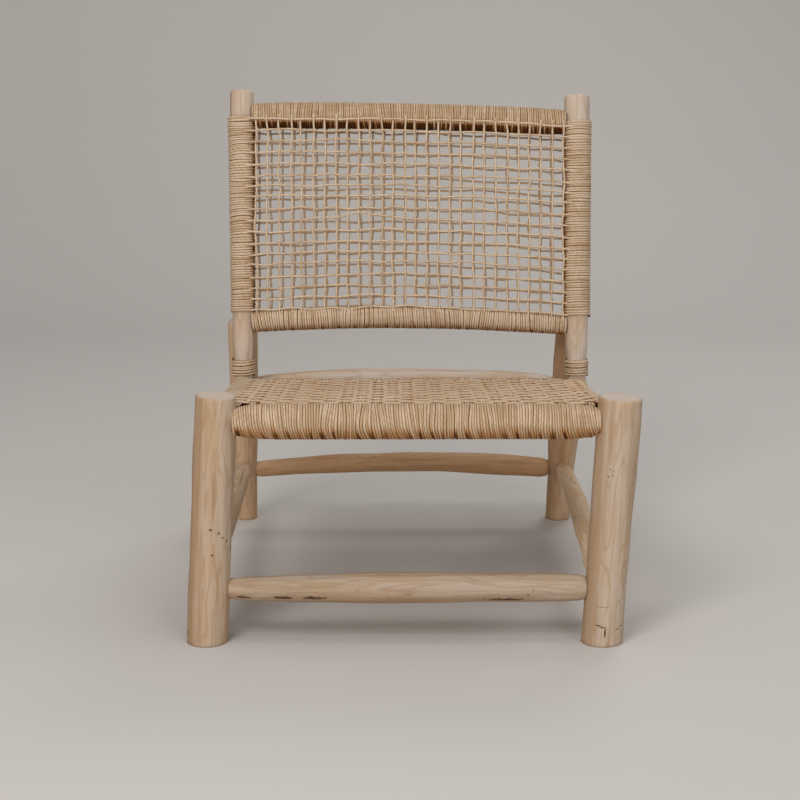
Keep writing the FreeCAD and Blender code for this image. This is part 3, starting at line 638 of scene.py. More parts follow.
class BranchSkin:
    """Builds the mesh of a wood member, with the uneven skin of a peeled branch."""

    sides = 56
    step = 0.0045
    tenon_seen = 0.009
    shoulder = 0.0035
    pit_depth = 0.0016
    tenon_limit = 0.95
    tenon_rough = 0.3
    # Count of waves, their fewest and most crests round the member, their lengths along it, and their height
    swells = (14, (0, 5), (0.08, 0.4), 0.0003 / 2.4)
    ridges = (10, (7, 18), (0.15, 0.6), 0.0002 / 2)

    def __init__(self, limb: Limb) -> None:
        """Takes the member to be built."""
        self.limb = limb
        self.angles = np.arange(self.sides) * TURN / self.sides

    def relief(self, angles: Array, along: Array) -> Array:
        """Height of the skin over the plain round at angles and distances along the member."""
        rng = np.random.default_rng(seed_of(self.limb.name))
        made = np.zeros(np.broadcast(angles, along).shape)
        for count, crests, lengths, height in (self.swells, self.ridges):
            for _ in range(count):
                order = rng.integers(*crests)
                rate = TURN / rng.uniform(*lengths)
                made += height * np.cos(order * angles + rate * along + rng.uniform(0, TURN))
        for mark in self.limb.marks:
            if mark.kind is not STAIN:
                turned = (angles - math.radians(mark.angle) + math.pi) % TURN - math.pi
                far = np.hypot(turned * self.limb.radius / mark.width, (along - mark.along) / mark.height)
                rim = MARK_STYLES[mark.kind].rim * np.exp(-far ** 2 / 1.4)
                made += mark.depth * (rim - self.pit_depth * np.exp(-far ** 2 * 7.0))
        return made

    def stations(self) -> Array:
        """Evenly spaced shares of the length from 0 to 1."""
        return np.linspace(0.0, 1.0, max(2, int(math.ceil(self.limb.length / self.step))) + 1)

    def piece(self, shares: Array, radii: Array, face: Array, rough: Array,
              floor: bool = False) -> MeshDraft:
        """The member's closed skin.

        Args:
            shares: Share of the length of each point, rings x sides.
            radii: Distance of each point from the axis before the relief.
            face: 1 where end grain shows and 0 on the flanks.
            rough: Share of the relief at each point.
            floor: True if the first ring lies on the floor.

        Returns:
            The mesh, not yet made.
        """
        angles = np.broadcast_to(self.angles, shares.shape)
        along = shares * self.limb.length
        points = self.limb.around(shares, angles, radii + self.relief(angles, along) * rough)
        if floor:
            points[0, :, 2] = 0.0
        grain = np.stack([radii * np.cos(angles), radii * np.sin(angles), along], -1)
        draft = MeshDraft()
        draft.grid(points, {"grain": grain, "face": face[..., None]})
        return draft

    def foot_shares(self) -> Array:
        """For each side of a leg, the share of its length at which the side meets the floor."""
        limb = self.limb
        across, ahead = limb.axes(np.zeros(1))
        rise = across[0, 2] * np.cos(self.angles) + ahead[0, 2] * np.sin(self.angles)
        height = self.relief(self.angles, np.zeros(self.sides))
        return -(limb.radius_at(np.zeros(1)) + height) * rise / (limb.end[2] - limb.start[2])

    def upright(self, rounding: float, on_floor: bool, below: float = 0.0) -> MeshDraft:
        """A leg or post with an eased flat top.

        Args:
            rounding: Radius of the top's edge.
            on_floor: True if its foot is cut level at the floor.
            below: How far the foot of a post runs on below its start.

        Returns:
            The mesh, not yet made.
        """
        limb = self.limb
        foot = self.foot_shares() if on_floor else np.full(self.sides, -below / limb.length)
        last = 1.0 - rounding / limb.length
        flank = foot + (last - foot) * self.stations()[:-1, None]
        top_radius = limb.radius_at(np.ones(1))[0]
        quarter = np.linspace(0.0, math.pi / 2, 6)
        inner = np.linspace(1.0, 0.06, 9)[1:] * (top_radius - rounding)
        flat = np.ones(inner.shape)
        cap_shares = np.concatenate([last + np.sin(quarter) * rounding / limb.length, flat])
        cap_radii = np.concatenate([top_radius - rounding * (1 - np.cos(quarter)), inner])
        cap_face = np.concatenate([smooth((quarter - 0.7) / 0.8), flat])

        def joined(below_top: Array, cap: Array) -> Array:
            """Values of the flank's points, then one value for each ring of the top."""
            return np.concatenate([below_top, np.repeat(cap[:, None], self.sides, 1)])

        radii = joined(limb.radius_at(flank), cap_radii)
        face = joined(np.zeros(flank.shape), cap_face)
        rough = joined(np.ones(flank.shape), cap_radii / top_radius)
        return self.piece(joined(flank, cap_shares), radii, face, rough, on_floor)

    def rail(self, tenon: float) -> MeshDraft:
        """A rail whose rounded ends run on as tenons into their hosts.

        Args:
            tenon: The tenon's radius.

        Returns:
            The mesh, not yet made.
        """
        limb = self.limb
        ease = self.shoulder / limb.length * (1 - np.linspace(0.0, 1.0, 6)[:-1])
        low = np.concatenate([[-self.tenon_seen / limb.length], -ease])
        shares = np.concatenate([low, self.stations(), 1.0 - low[::-1]])
        radii = limb.radius_at(shares)
        out = np.maximum(-shares, shares - 1.0) * limb.length
        bend = np.sqrt(np.clip(1 - (np.clip(out / self.shoulder, 0.0, 1.0)) ** 2, 0.0, 1.0))
        thin = np.minimum(tenon, radii * self.tenon_limit)
        radii = np.where(out > 0, thin + (radii - thin) * bend, radii)
        rough = np.where(out > 0, self.tenon_rough, 1.0)
        wide = np.ones(self.sides)
        return self.piece(shares[:, None] * wide, radii[:, None] * wide, 0 * shares[:, None] * wide,
                          rough[:, None] * wide)


@dataclass(frozen=True)
class CordShape:
    """Half sizes of a cord's section, out from what it lies on and sideways; the second may vary along it."""

    thick: float = CORD / 2
    wide: Numbers = CORD / 2
    sides: int = 8


class CordRun:
    """Lays tubes of cord into one draft, each with its own tone."""

    tone_change = 0.16
    speck_share = 0.36
    between = 0.01

    def __init__(self, name: str) -> None:
        """Starts an empty run with seeded tones."""
        self.draft = MeshDraft()
        self.rng = np.random.default_rng(seed_of(name))
        self.offset = 0.0
        self.length = 0.0

    def lay(self, points: Array, outward: Array, shape: CordShape, tone: float,
            loop: bool = False, painted_shade: Numbers = 0.0, patches: Numbers = 0.0) -> None:
        """Adds one length of cord.

        Args:
            points: Its centre line, n x 3.
            outward: Direction away from what it lies on, n x 3.
            shape: Its section.
            tone: Its base tone between 0 and 1.
            loop: True if it closes on itself.
            painted_shade: Painted shade at each point, from 0 to 1.
            patches: What is added to its tone at each point.
        """
        if loop:
            run = unit(np.roll(points, -1, axis=0) - np.roll(points, 1, axis=0))
        else:
            run = unit(np.gradient(points, axis=0))
        side = unit(np.cross(run, outward))
        up = np.cross(side, run)
        angles = np.arange(shape.sides) * TURN / shape.sides
        wide = np.broadcast_to(shape.wide, len(points))[:, None, None]
        ring = (side[:, None, :] * np.cos(angles)[None, :, None] * wide
                + up[:, None, :] * np.sin(angles)[None, :, None] * shape.thick)
        steps = np.linalg.norm(np.diff(points, axis=0), axis=1)
        along = np.concatenate([[0.0], np.cumsum(steps)])
        change = Drift(self.rng, 4, 0.6, 0.05).at(along + self.offset)
        specks = Drift(self.rng, 5, 0.12, 0.012).at(along + self.offset) * self.speck_share
        tones = np.clip(np.clip(tone + change * self.tone_change, 0.0, 1.0) + patches, 0.0, 1.0)
        self.offset += along[-1] + self.between
        lay = np.stack(np.broadcast_arrays(np.cos(angles)[None, :], np.sin(angles)[None, :],
                                           (along + self.offset)[:, None]), -1)
        # The third part of the tone is painted shade.
        tone_rows = np.stack([tones, np.clip(specks, 0.0, 1.0), tones * 0 + painted_shade], -1)[:, None, :]
        self.length += along[-1]
        self.draft.grid(points[:, None, :] + ring, {"lay": lay, "tone": tone_rows}, loop)

    def place(self, name: str, material: bpy.types.Material, *nodes: str) -> None:
        """Makes the run's mesh, ties it to the chair's body and hides the frame nodes it stands for."""
        place_piece(self.draft.build(name, material), "twisted_cord", *nodes)
        LOG.info("%s: %.1f m of cord", name, self.length)


@dataclass(frozen=True)
class Coil:
    """Close turns of cord round a member, between two shares of its length.

    Jitter, lean and sweep say how far turns wander, slant and drift sideways underneath. Under says from
    which facing on, along the away direction, a cord gets painted shade, from which fully, and by what share.
    """

    limb: Limb
    first: float
    last: float
    turns: float
    jitter: float = 0.07
    slant: float = 0.0
    steps: int = 26
    press: float = 1.05
    lean: float = 0.3
    lift: float = CORD_LIFT
    under: Point = (-0.2, -0.9, 0.5)
    sweep: float = 0.0
    away: Point = (0.0, 0.0, 1.0)
    tone: float = 0.35
    unevenness: float = 0.00012
    loose_turns: float = 3.0
    widths: tuple[float, float] = (0.7, 1.6)
    tone_patches: float = 0.22
    painted_shade_patches: float = 0.36

    def wind(self, run: CordRun) -> None:
        """Lays the coil into a run of cord."""
        limb = self.limb
        count = int(self.turns * self.steps)
        turned = np.linspace(0.0, self.turns, count + 1)
        pitch = (self.last - self.first) / self.turns
        ends = smooth(turned / self.loose_turns) * smooth((self.turns - turned) / self.loose_turns)
        angles = turned * TURN
        wander = Drift(run.rng, 8, 9.0, 1.1).at(turned) * self.jitter
        tilt = Drift(run.rng, 6, 90.0, 22.0).at(turned) * np.sin(angles)
        bend = Drift(run.rng, 6, 30.0, 6.0).at(turned) * np.cos(2 * angles) * 0.3
        shares = self.first + pitch * (turned + (wander + (tilt + bend) * self.lean) * ends)
        shares = shares + np.cos(angles - math.pi / 2) * self.slant / limb.length
        shares = shares + np.clip(-np.sin(angles), 0.0, 1.0) ** 1.5 * ends * self.sweep / limb.length
        lift = self.lift + Drift(run.rng, 8, 5.0, 0.7).at(turned) * self.unevenness
        points = limb.around(shares, angles, limb.radius_at(shares) + lift)
        outward = points - limb.at(shares)
        around = np.arange(count + 1)
        before, after = np.maximum(around - self.steps, 0), np.minimum(around + self.steps, count)
        spacing = (shares[after] - shares[before]) / (after - before) * self.steps
        wide = np.clip(spacing / pitch, *self.widths) * pitch * limb.length / 2 * self.press
        patches = Drift(run.rng, 8, 12.0, 1.2).at(turned) * self.tone_patches
        # Painted shade, in patches, on turns that face against the away direction: undersides of rails, inner
        # sides of posts.
        low, lowest, share = self.under
        patchy = 1 + self.painted_shade_patches * Drift(run.rng, 6, 7.0, 1.1).at(turned)
        facing = unit(outward) @ np.array(self.away)
        painted_shade = np.clip(smooth((low - facing) / (low - lowest)) * share * patchy, 0.0, 1.0)
        run.lay(points, outward, CordShape(CORD / 2, wide), self.tone, painted_shade=painted_shade, patches=patches)


def place_piece(made: bpy.types.Object, slot: str, *nodes: str) -> None:
    """Hides the frame nodes a piece stands for and ties the piece to the chair's one body."""
    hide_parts(*nodes)
    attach(made, "root")
    LOG.info("%s: %d vertices for %s", made.name, len(made.data.vertices), ", ".join(nodes))


@dataclass
class CordWork:
    """Winds cord round members."""

    cord: TwistedCord = field(default_factory=TwistedCord)

    def wrap(self, node: str, *coils: Coil, shade: float = 0.0, groove: float = 0.9) -> None:
        """Makes one run's piece of coils.

        Args:
            node: The frame node it stands for.
            coils: Its coils, in order.
            shade: Painted shade over the whole run, as a share of darker straw; painted light where negative.
            groove: Painted shade on the flanks of its turns.
        """
        run = CordRun(node)
        for coil in coils:
            coil.wind(run)
        run.place(node + "_cord", self.cord.material(node, shade, groove), node)


@dataclass
class WoodWork:
    """Dresses wood members."""

    wood: BranchWood = field(default_factory=BranchWood)

    def dress(self, limb: Limb, draft: MeshDraft) -> None:
        """Makes one member's piece with its own finish."""
        place_piece(draft.build(limb.name + "_wood", self.wood.material(limb)), "branch_wood", limb.name)

    def rails(self, tenon: float, *limbs: Limb) -> None:
        """Makes rails with tenons of one radius."""
        for limb in limbs:
            self.dress(limb, BranchSkin(limb).rail(tenon))

    def uprights(self, rounding: float, on_floor: bool, below: float, *limbs: Limb) -> None:
        """Makes legs or posts with tops of one rounding."""
        for limb in limbs:
            self.dress(limb, BranchSkin(limb).upright(rounding, on_floor, below))


@dataclass
class LegFrame:
    """The four legs, their stretchers and the bare rail between the rear legs."""

    front_rounding: float = 0.0028
    rear_rounding: float = 0.005
    stretcher_tenon: float = 0.012
    rear_tenon: float = 0.010
    side_tenon: float = 0.0085
    front_legs: tuple[Limb, ...] = (
        Limb("front_leg_left", (-0.3094, FRONT_Y, 0.0), (-0.2894, FRONT_Y, 0.382), 0.031,
             ((0.0, 1.0), (0.3, 1.0), (0.55, 0.985), (0.78, 1.03), (0.9, 0.99), (1.0, 0.965)),
             darker_side=(190.0, 0.8), marks=marked(
                 (KNOT, -87, 0.184, 0.0045, 0.0035, 0.9), (CRACK, -63, 0.178, 0.0035, 0.0040, 0.8),
                 (CRACK, -50, 0.171, 0.0045, 0.0022, 0.7), (CRACK, -35, 0.165, 0.0035, 0.0030, 0.8),
                 (KNOT, -80, 0.145, 0.0035, 0.0030, 1.0), (KNOT, -157, 0.018, 0.0050, 0.0070, 0.8))),
        Limb("front_leg_right", (0.2882, FRONT_Y, 0.0), (0.3082, FRONT_Y, 0.379), 0.0322,
             ((0.0, 0.965), (0.2, 0.955), (0.45, 0.975), (0.6, 1.0), (0.85, 1.0), (1.0, 1.0)),
             tint=(1.04, 1.08, 1.14), darker_side=(195.0, 0.7), marks=marked(
                 (CRACK, -110, 0.0338, 0.0095, 0.0017, 1.0), (CRACK, -97, 0.0312, 0.0085, 0.0017, 1.0),
                 (CRACK, -89, 0.0235, 0.0024, 0.015, 1.0), (CRACK, -52, 0.028, 0.007, 0.0014, 0.9),
                 (CRACK, -38, 0.032, 0.006, 0.0016, 0.9), (CRACK, -103, 0.063, 0.024, 0.001, 0.4),
                 (CRACK, -108, 0.276, 0.0022, 0.0022, 0.7), (CRACK, -113, 0.265, 0.0028, 0.0026, 0.7),
                 (CRACK, -101, 0.267, 0.002, 0.0022, 0.7), (CRACK, -99, 0.274, 0.0018, 0.0018, 0.6),
                 (CRACK, -33, 0.252, 0.0018, 0.005, 0.8))),
    )
    rear_legs: tuple[Limb, ...] = (
        # Its lighter tint is painted light, lifting a leg that gets little light.
        Limb("rear_leg_left", (-0.3008, 0.34833, 0.0), (-0.2928, 0.23059, 0.38897), 0.0258,
             ((0.0, 0.75), (0.25, 0.8), (0.5, 0.9), (0.75, 0.98), (1.0, 1.0)),
             tint=(1.18, 1.1, 0.98), darker_side=(-60.0, 0.25)),
        Limb("rear_leg_right", (0.274, 0.34833, 0.0), (0.282, 0.23059, 0.38897), 0.027,
             ((0.0, 0.82), (0.2, 0.86), (0.45, 1.0), (0.7, 0.97), (1.0, 0.93)),
             tint=(1.1, 1.03, 0.95), darker_side=(-150.0, 0.5)),
    )
    # The stretchers' darker sides face down: painted shade on their undersides.
    front_stretcher: Limb = Limb(
        "front_stretcher", (-0.27257, FRONT_Y, 0.08266), (0.2602, FRONT_Y, 0.08534), 0.0232,
        ((0.0, 0.66), (0.015, 0.72), (0.06, 0.8), (0.2, 0.9), (0.4, 0.985), (0.6, 1.0), (0.76, 0.94),
         (0.93, 0.91), (0.985, 0.84), (1.0, 0.74)),
        (0.0, 0.0, 0.0008), tint=(0.9, 0.93, 0.97), darker_side=(250.0, 0.5), marks=marked(
            (STAIN, 206, 0.020, 0.006, 0.022, 0.9), (STAIN, 208, 0.080, 0.006, 0.032, 1.0),
            (KNOT, 206, 0.121, 0.0055, 0.014, 1.0), (STAIN, 209, 0.126, 0.006, 0.034, 0.9),
            (STAIN, 220, 0.410, 0.006, 0.060, 1.0), (KNOT, 214, 0.404, 0.003, 0.008, 0.9),
            (CRACK, 196, 0.447, 0.0025, 0.004, 0.8), (CRACK, 176, 0.455, 0.006, 0.0012, 0.6),
            (KNOT, 190, 0.268, 0.004, 0.010, 0.3)))
    rear_stretcher: Limb = Limb(
        "rear_stretcher", (-0.27602, 0.31817, 0.09964), (0.24938, 0.3172, 0.10284), 0.0192,
        ((0.0, 0.68), (0.02, 0.76), (0.12, 0.81), (0.35, 0.87), (0.6, 0.91), (0.85, 1.0), (0.98, 0.92),
         (1.0, 0.78)), (0.0, 0.0, 0.012), tint=(1.17, 1.03, 0.85), darker_side=(230.0, 0.6))
    # The side stretchers' darker sides face down: painted shade on their undersides.
    side_stretchers: tuple[Limb, ...] = (
        Limb("side_stretcher_left", (-0.30355, -0.30773, 0.109), (-0.29877, 0.28949, 0.109), 0.016,
             SIDE_STRETCHER_SHARES, (0.0005, 0.0, 0.0), tint=(1.1, 1.08, 1.0), darker_side=(-90.0, 0.3)),
        # Its pale tint is painted light: it stands for the light that reaches it from the front left under
        # the seat.
        Limb("side_stretcher_right", (0.27554, -0.30722, 0.109), (0.27621, 0.28495, 0.109), 0.0166,
             SIDE_STRETCHER_SHARES, (0.007, 0.0, 0.0), tint=(1.45, 1.45, 1.38), darker_side=(-90.0, 0.3)),
    )
    # The bare rail's pale tint is painted light from above.
    leg_rail: Limb = Limb(
        "rear_leg_rail", (-0.26841, 0.26615, 0.2715), (0.25179, 0.26615, 0.2715), 0.016,
        ((0.0, 0.72), (0.05, 0.86), (0.15, 0.97), (0.5, 1.0), (0.85, 0.97), (0.95, 0.86), (1.0, 0.72)),
        (0.0, 0.0, 0.0105), tint=(1.42, 1.6, 1.9))

    def build(self, work: WoodWork) -> None:
        """Builds and dresses the legs, the stretchers and the bare rail."""
        work.uprights(self.front_rounding, True, 0.0, *self.front_legs)
        work.uprights(self.rear_rounding, True, 0.0, *self.rear_legs)
        work.rails(self.stretcher_tenon, self.front_stretcher)
        work.rails(self.rear_tenon, self.rear_stretcher)
        work.rails(self.side_tenon, *self.side_stretchers)
        work.rails(self.rear_tenon, self.leg_rail)


@dataclass
class SeatFrame:
    """The four rails that carry the woven seat, with the close turns round the front and rear ones."""

    front_tenon: float = 0.013
    side_tenon: float = 0.0095
    rear_tenon: float = 0.008
    front_turns: float = 140.0
    rear_turns: float = 139.0
    past_end: float = 0.0125
    lean: float = 0.6
    # Painted shade and painted warm floor light on the undersides of the front and rear wraps.
    under: Point = (0.12, -0.62, 0.5)
    sweep: float = 0.005
    # The front rail's wood is darkened: painted shade, seen in the slits between its turns of cord.
    front: Limb = Limb(
        "front_seat_rail", (-0.25879, FRONT_Y, 0.3419), (0.27253, FRONT_Y, 0.3419), 0.023,
        ((0.0, 0.78), (0.035, 0.91), (0.075, 0.98), (0.12, 1.0), (0.93, 0.99), (0.985, 0.88), (1.0, 0.75)),
        tint=(0.8, 0.6, 0.42))
    rear: Limb = Limb(
        "rear_seat_rail", (-0.27399, 0.14073, 0.2866), (0.26863, 0.14073, 0.2866), 0.016, RAIL_SHARES)
    sides: tuple[Limb, ...] = (
        Limb("side_seat_rail_left", (-0.28766, -0.30621, 0.34561), (-0.29033, 0.23217, 0.27573), 0.015,
             RAIL_SHARES, (0.0005, 0.0, 0.0)),
        Limb("side_seat_rail_right", (0.29941, -0.30368, 0.34528), (0.2906, 0.2299, 0.27602), 0.015,
             RAIL_SHARES, (-0.013, 0.0, 0.0)),
    )

    def wound(self, limb: Limb, turns: float) -> Coil:
        """The coil round the front or the rear rail."""
        return Coil(limb, -self.past_end, 1.0 + self.past_end, turns, lean=self.lean, under=self.under,
                    sweep=self.sweep)

    def build(self, work: WoodWork, cords: CordWork) -> None:
        """Builds and dresses the rails and their wraps."""
        work.rails(self.front_tenon, self.front)
        work.rails(self.rear_tenon, self.rear)
        work.rails(self.side_tenon, *self.sides)
        # Both wraps are painted darker overall, the front one more: painted shade; the front one's flanks get
        # less of it.
        cords.wrap("front_rail_wrap", self.wound(self.front, self.front_turns), shade=0.2, groove=0.74)
        cords.wrap("rear_rail_wrap", self.wound(self.rear, self.rear_turns), shade=0.1)


@dataclass
class SeatWeave:
    """The dense weave of the seat: loops round both side rails, crossed by narrow pairs from front to rear.

    Depths count from the front rail's axis, and levels down from the woven face.
    """

    frame: SeatFrame
    rows: int = 19
    loops: int = 104
    pairs: int = 24
    pair_pitch: float = 0.0229
    pair_gap: float = 0.0039
    pair_centre: float = 0.0045
    pair_inset: float = 0.003
    pair_reach: float = 0.004
    weft_level: float = 0.0030
    warp_level: float = 0.0044
    warp_below: float = 0.0352
    weft_rise: float = 0.0007
    weft_dip: float = 0.0034
    rise_wide: float = 0.009
    dip_wide: float = 0.0043
    warp_swing: float = 0.0015
    warp_press: float = 1.9
    front_in_middle: float = 0.0172
    front_at_sides: float = 0.0378
    front_below: float = 0.0300
    last_depth: float = SEAT_DEPTH - 0.0165
    # Painted shade: dashes beside the pairs, grooves between rows, the underside and the turns round the side
    # rails.
    hole_shade_from: float = 0.0064
    hole_shade_wide: float = 0.0030
    groove_wide: float = 0.006
    groove_painted_shade: float = 0.9
    below_painted_shade: float = 0.8
    rail_painted_shade: float = 0.15
    side_flat: float = 0.014
    settle: tuple[float, float] = (0.095, 0.035)
    loop_skew: float = 0.00028
    loop_noise: float = 0.00015
    pair_wander: float = 0.0006
    cord_wander: float = 0.00022
    under_gap: float = 0.0003
    rail_flat: float = 0.004
    rail_blend: float = 0.03
    step: float = 0.0058
    weft: CordShape = CordShape(0.00175, 0.00218)
    warp: CordShape = CordShape(0.00155, 0.00180)

    def warp_x(self, index: Numbers) -> Numbers:
        """Middle of a pair along X."""
        return self.pair_centre + (index - (self.pairs - 1) / 2) * self.pair_pitch

    def middle(self, x: Numbers, y: float) -> Array:
        """How far places along X are away from the side rails at a depth, from 0 beside them to 1."""
        left, right = (limb.at(limb.share_at(1, y))[..., 0] for limb in self.frame.sides)
        near_left = smooth((x - left - self.side_flat) / self.settle[0])
        return near_left * smooth((right - x - self.side_flat) / self.settle[1])

    def side_depth(self, index: int) -> float:
        """Depth of a loop at the side rails."""
        return self.front_at_sides + (self.last_depth - self.front_at_sides) * ((index + 0.5) / self.loops)

    def loop_y(self, index: int, x: Array, below: bool) -> Array:
        """Place along Y of a loop at places along X, on the face or on the underside."""
        at_side = self.side_depth(index)
        first = self.front_below if below else self.front_in_middle
        in_middle = first + (self.last_depth - first) * ((index + 0.5) / self.loops)
        return FRONT_Y + at_side + (in_middle - at_side) * self.middle(x, FRONT_Y + at_side)

    def crossing(self, x: Array, row: int) -> tuple[Array, Array]:
        """How a row passes the pairs.

        Args:
            x: Places along X.
            row: The row's number from the front.

        Returns:
            Height over the row's level, with a short dip under a pair and a low rise over one, and painted
            shade for the gaps beside the pairs that lie over it: 1 where the row runs there, down to 0
            elsewhere.
        """
        phase = (x - self.warp_x(0)) / self.pair_pitch
        nearest = np.clip(np.round(phase), 0, self.pairs - 1)
        far, under = np.abs(phase - nearest) * self.pair_pitch, (nearest + row) % 2
        rise = self.weft_rise * np.exp(-(far / self.rise_wide) ** 2)
        swing = rise * (1 - under) - self.weft_dip * np.exp(-(far / self.dip_wide) ** 4) * under
        return swing, np.exp(-((far - self.hole_shade_from) / self.hole_shade_wide) ** 2) * under

    def groove(self, x: Array, index: int) -> Array:
        """Painted shade, from 0 to 1, on a row's first loop in the groove between rows outside the pairs."""
        first, last = self.warp_x(0), self.warp_x(self.pairs - 1)
        bare = smooth((first - self.pair_reach - x) / self.groove_wide)
        bare = bare + smooth((x - last - self.pair_reach) / self.groove_wide)
        return bare * self.groove_painted_shade * (index * self.rows % self.loops < self.rows)

    def rail_end(self, side: int, y: float) -> tuple[Array, float]:
        """A side rail's axis at a place along Y, and how far from it a loop's centre line runs."""
        limb = self.frame.sides[side]
        share = limb.share_at(1, y)
        return limb.at(share), float(limb.radius_at(share)) + CORD_LIFT

    def loop(self, run: CordRun, index: int) -> None:
        """One loop: over the face, round the right side rail, back below and round the left one."""
        row = index * self.rows // self.loops
        y_side = FRONT_Y + self.side_depth(index)
        (left, left_reach), (right, right_reach) = (self.rail_end(side, y_side) for side in (0, 1))
        half = int((right[0] - left[0]) / self.step)
        part = np.linspace(0.0, 1.0, half)
        x = left[0] + (right[0] - left[0]) * part
        noise = Drift(run.rng, 5, 0.35, 0.05)
        skew = Drift(run.rng, 5, 0.3, 0.04)
        (swing, hole_shade), (swing_low, hole_shade_low) = self.crossing(x, row), self.crossing(x[::-1], row)
        inward = np.minimum(x - left[0], right[0] - x)
        blend = smooth((inward - self.rail_flat) / self.rail_blend)
        y_top = self.loop_y(index, x, False) + skew.at(x) * self.loop_skew
        rail_top = (left[2] + left_reach) * (1 - part) + (right[2] + right_reach) * part
        rail_top = rail_top - SEAT_FALL * (y_top - y_side)
        z_mid = seat_top(y_top) - self.weft_level + swing + noise.at(x) * self.loop_noise
        top = np.stack([x, y_top, rail_top + (z_mid - rail_top) * blend], -1)
        back = x[::-1]
        y_low = self.loop_y(index, back, True) + skew.at(back + 3.0) * self.loop_skew
        low_left, low_right = left[2] - left_reach, right[2] - right_reach
        rail_low = low_right + (low_left - low_right) * part - SEAT_FALL * (y_low - y_side)
        low = np.stack([back, y_low, rail_low + blend[::-1] * (self.under_gap - swing_low)], -1)
        turn = np.linspace(math.pi / 2, -math.pi / 2, 9)[1:-1]

        def arc(centre: Array, reach: float) -> Array:
            """Half a turn round a rail, which comes up on its left if the reach is negative."""
            level = np.full(turn.shape, y_side)
            return np.stack([centre[0] + np.cos(turn) * reach, level, centre[2] + np.sin(turn) * reach], -1)

        right_arc, left_arc = arc(right, right_reach), arc(left, -left_reach)
        # Painted shade on this loop: dashes beside the pairs, the grooves between rows, underneath and round
        # the rails.
        groove = self.groove(x, index) * smooth((inward + self.groove_wide) / self.groove_wide)
        on_top = np.clip(hole_shade * run.rng.uniform(0.8, 1.0) + groove, 0.0, 1.0)
        at_rail = np.full(turn.shape, self.rail_painted_shade)
        painted_shade = np.concatenate([on_top, at_rail, hole_shade_low * self.below_painted_shade, at_rail])
        up = np.tile([0.0, SEAT_FALL, 1.0], (half, 1))
        outward = np.concatenate([up, right_arc - right, -up, left_arc - left])
        points = np.concatenate([top, right_arc, low, left_arc])
        run.lay(points, outward, self.weft, float(run.rng.uniform(0.05, 0.75)), True, painted_shade)

    def row_phase(self, y: Array, x: float, below: bool) -> Array:
        """How many rows lie in front of each place along Y."""
        first = self.front_below if below else self.front_in_middle
        start = self.front_at_sides + (first - self.front_at_sides) * self.middle(x, y[0])
        return (y - FRONT_Y - start) / (self.last_depth - start) * self.rows

    def pair(self, run: CordRun, index: int) -> None:
        """Two cords side by side that cross the rows, on the face and underneath."""
        y = np.linspace(FRONT_Y + self.pair_inset, FRONT_Y + SEAT_DEPTH - self.pair_inset, 150)
        centre = float(self.warp_x(index))
        for below, sign_up, level in ((False, 1, self.warp_level), (True, -1, self.warp_below)):
            phase = self.row_phase(y, centre, below) - 0.5
            wave = np.tanh(np.cos(math.pi * (phase + index)) * self.warp_press)
            wave = wave / math.tanh(self.warp_press)
            inside = smooth((phase + 0.9) / 0.6) * smooth((self.rows - 0.1 - phase) / 0.6)
            z = seat_top(y) - level - wave * inside * self.warp_swing * sign_up
            up = np.tile([0.0, SEAT_FALL * sign_up, sign_up], (len(y), 1))
            wander = Drift(run.rng, 5, 0.25, 0.04)
            for sign in (-1, 1):
                own = Drift(run.rng, 4, 0.12, 0.03)
                x = centre + sign * self.pair_gap / 2 + wander.at(y) * self.pair_wander
                x = x + own.at(y) * self.cord_wander
                run.lay(np.stack([x, y, z], -1), up, self.warp, float(run.rng.uniform(0.0, 0.6)))

    def build(self, cord: TwistedCord) -> None:
        """Builds and dresses the loops and the pairs."""
        nodes = ("seat_weave", "seat_under_weave", "side_rail_wrap_left", "side_rail_wrap_right")
        for name, count, lay, stands_for in (("seat_loops", self.loops, self.loop, nodes),
                                             ("seat_pairs", self.pairs, self.pair, nodes[:2])):
            run = CordRun(name)
            for index in range(count):
                lay(run, index)
            # The seat's cords are painted lighter (below 0): painted light on the seat's face.
            run.place(name, cord.material(name, -0.15), *stands_for)


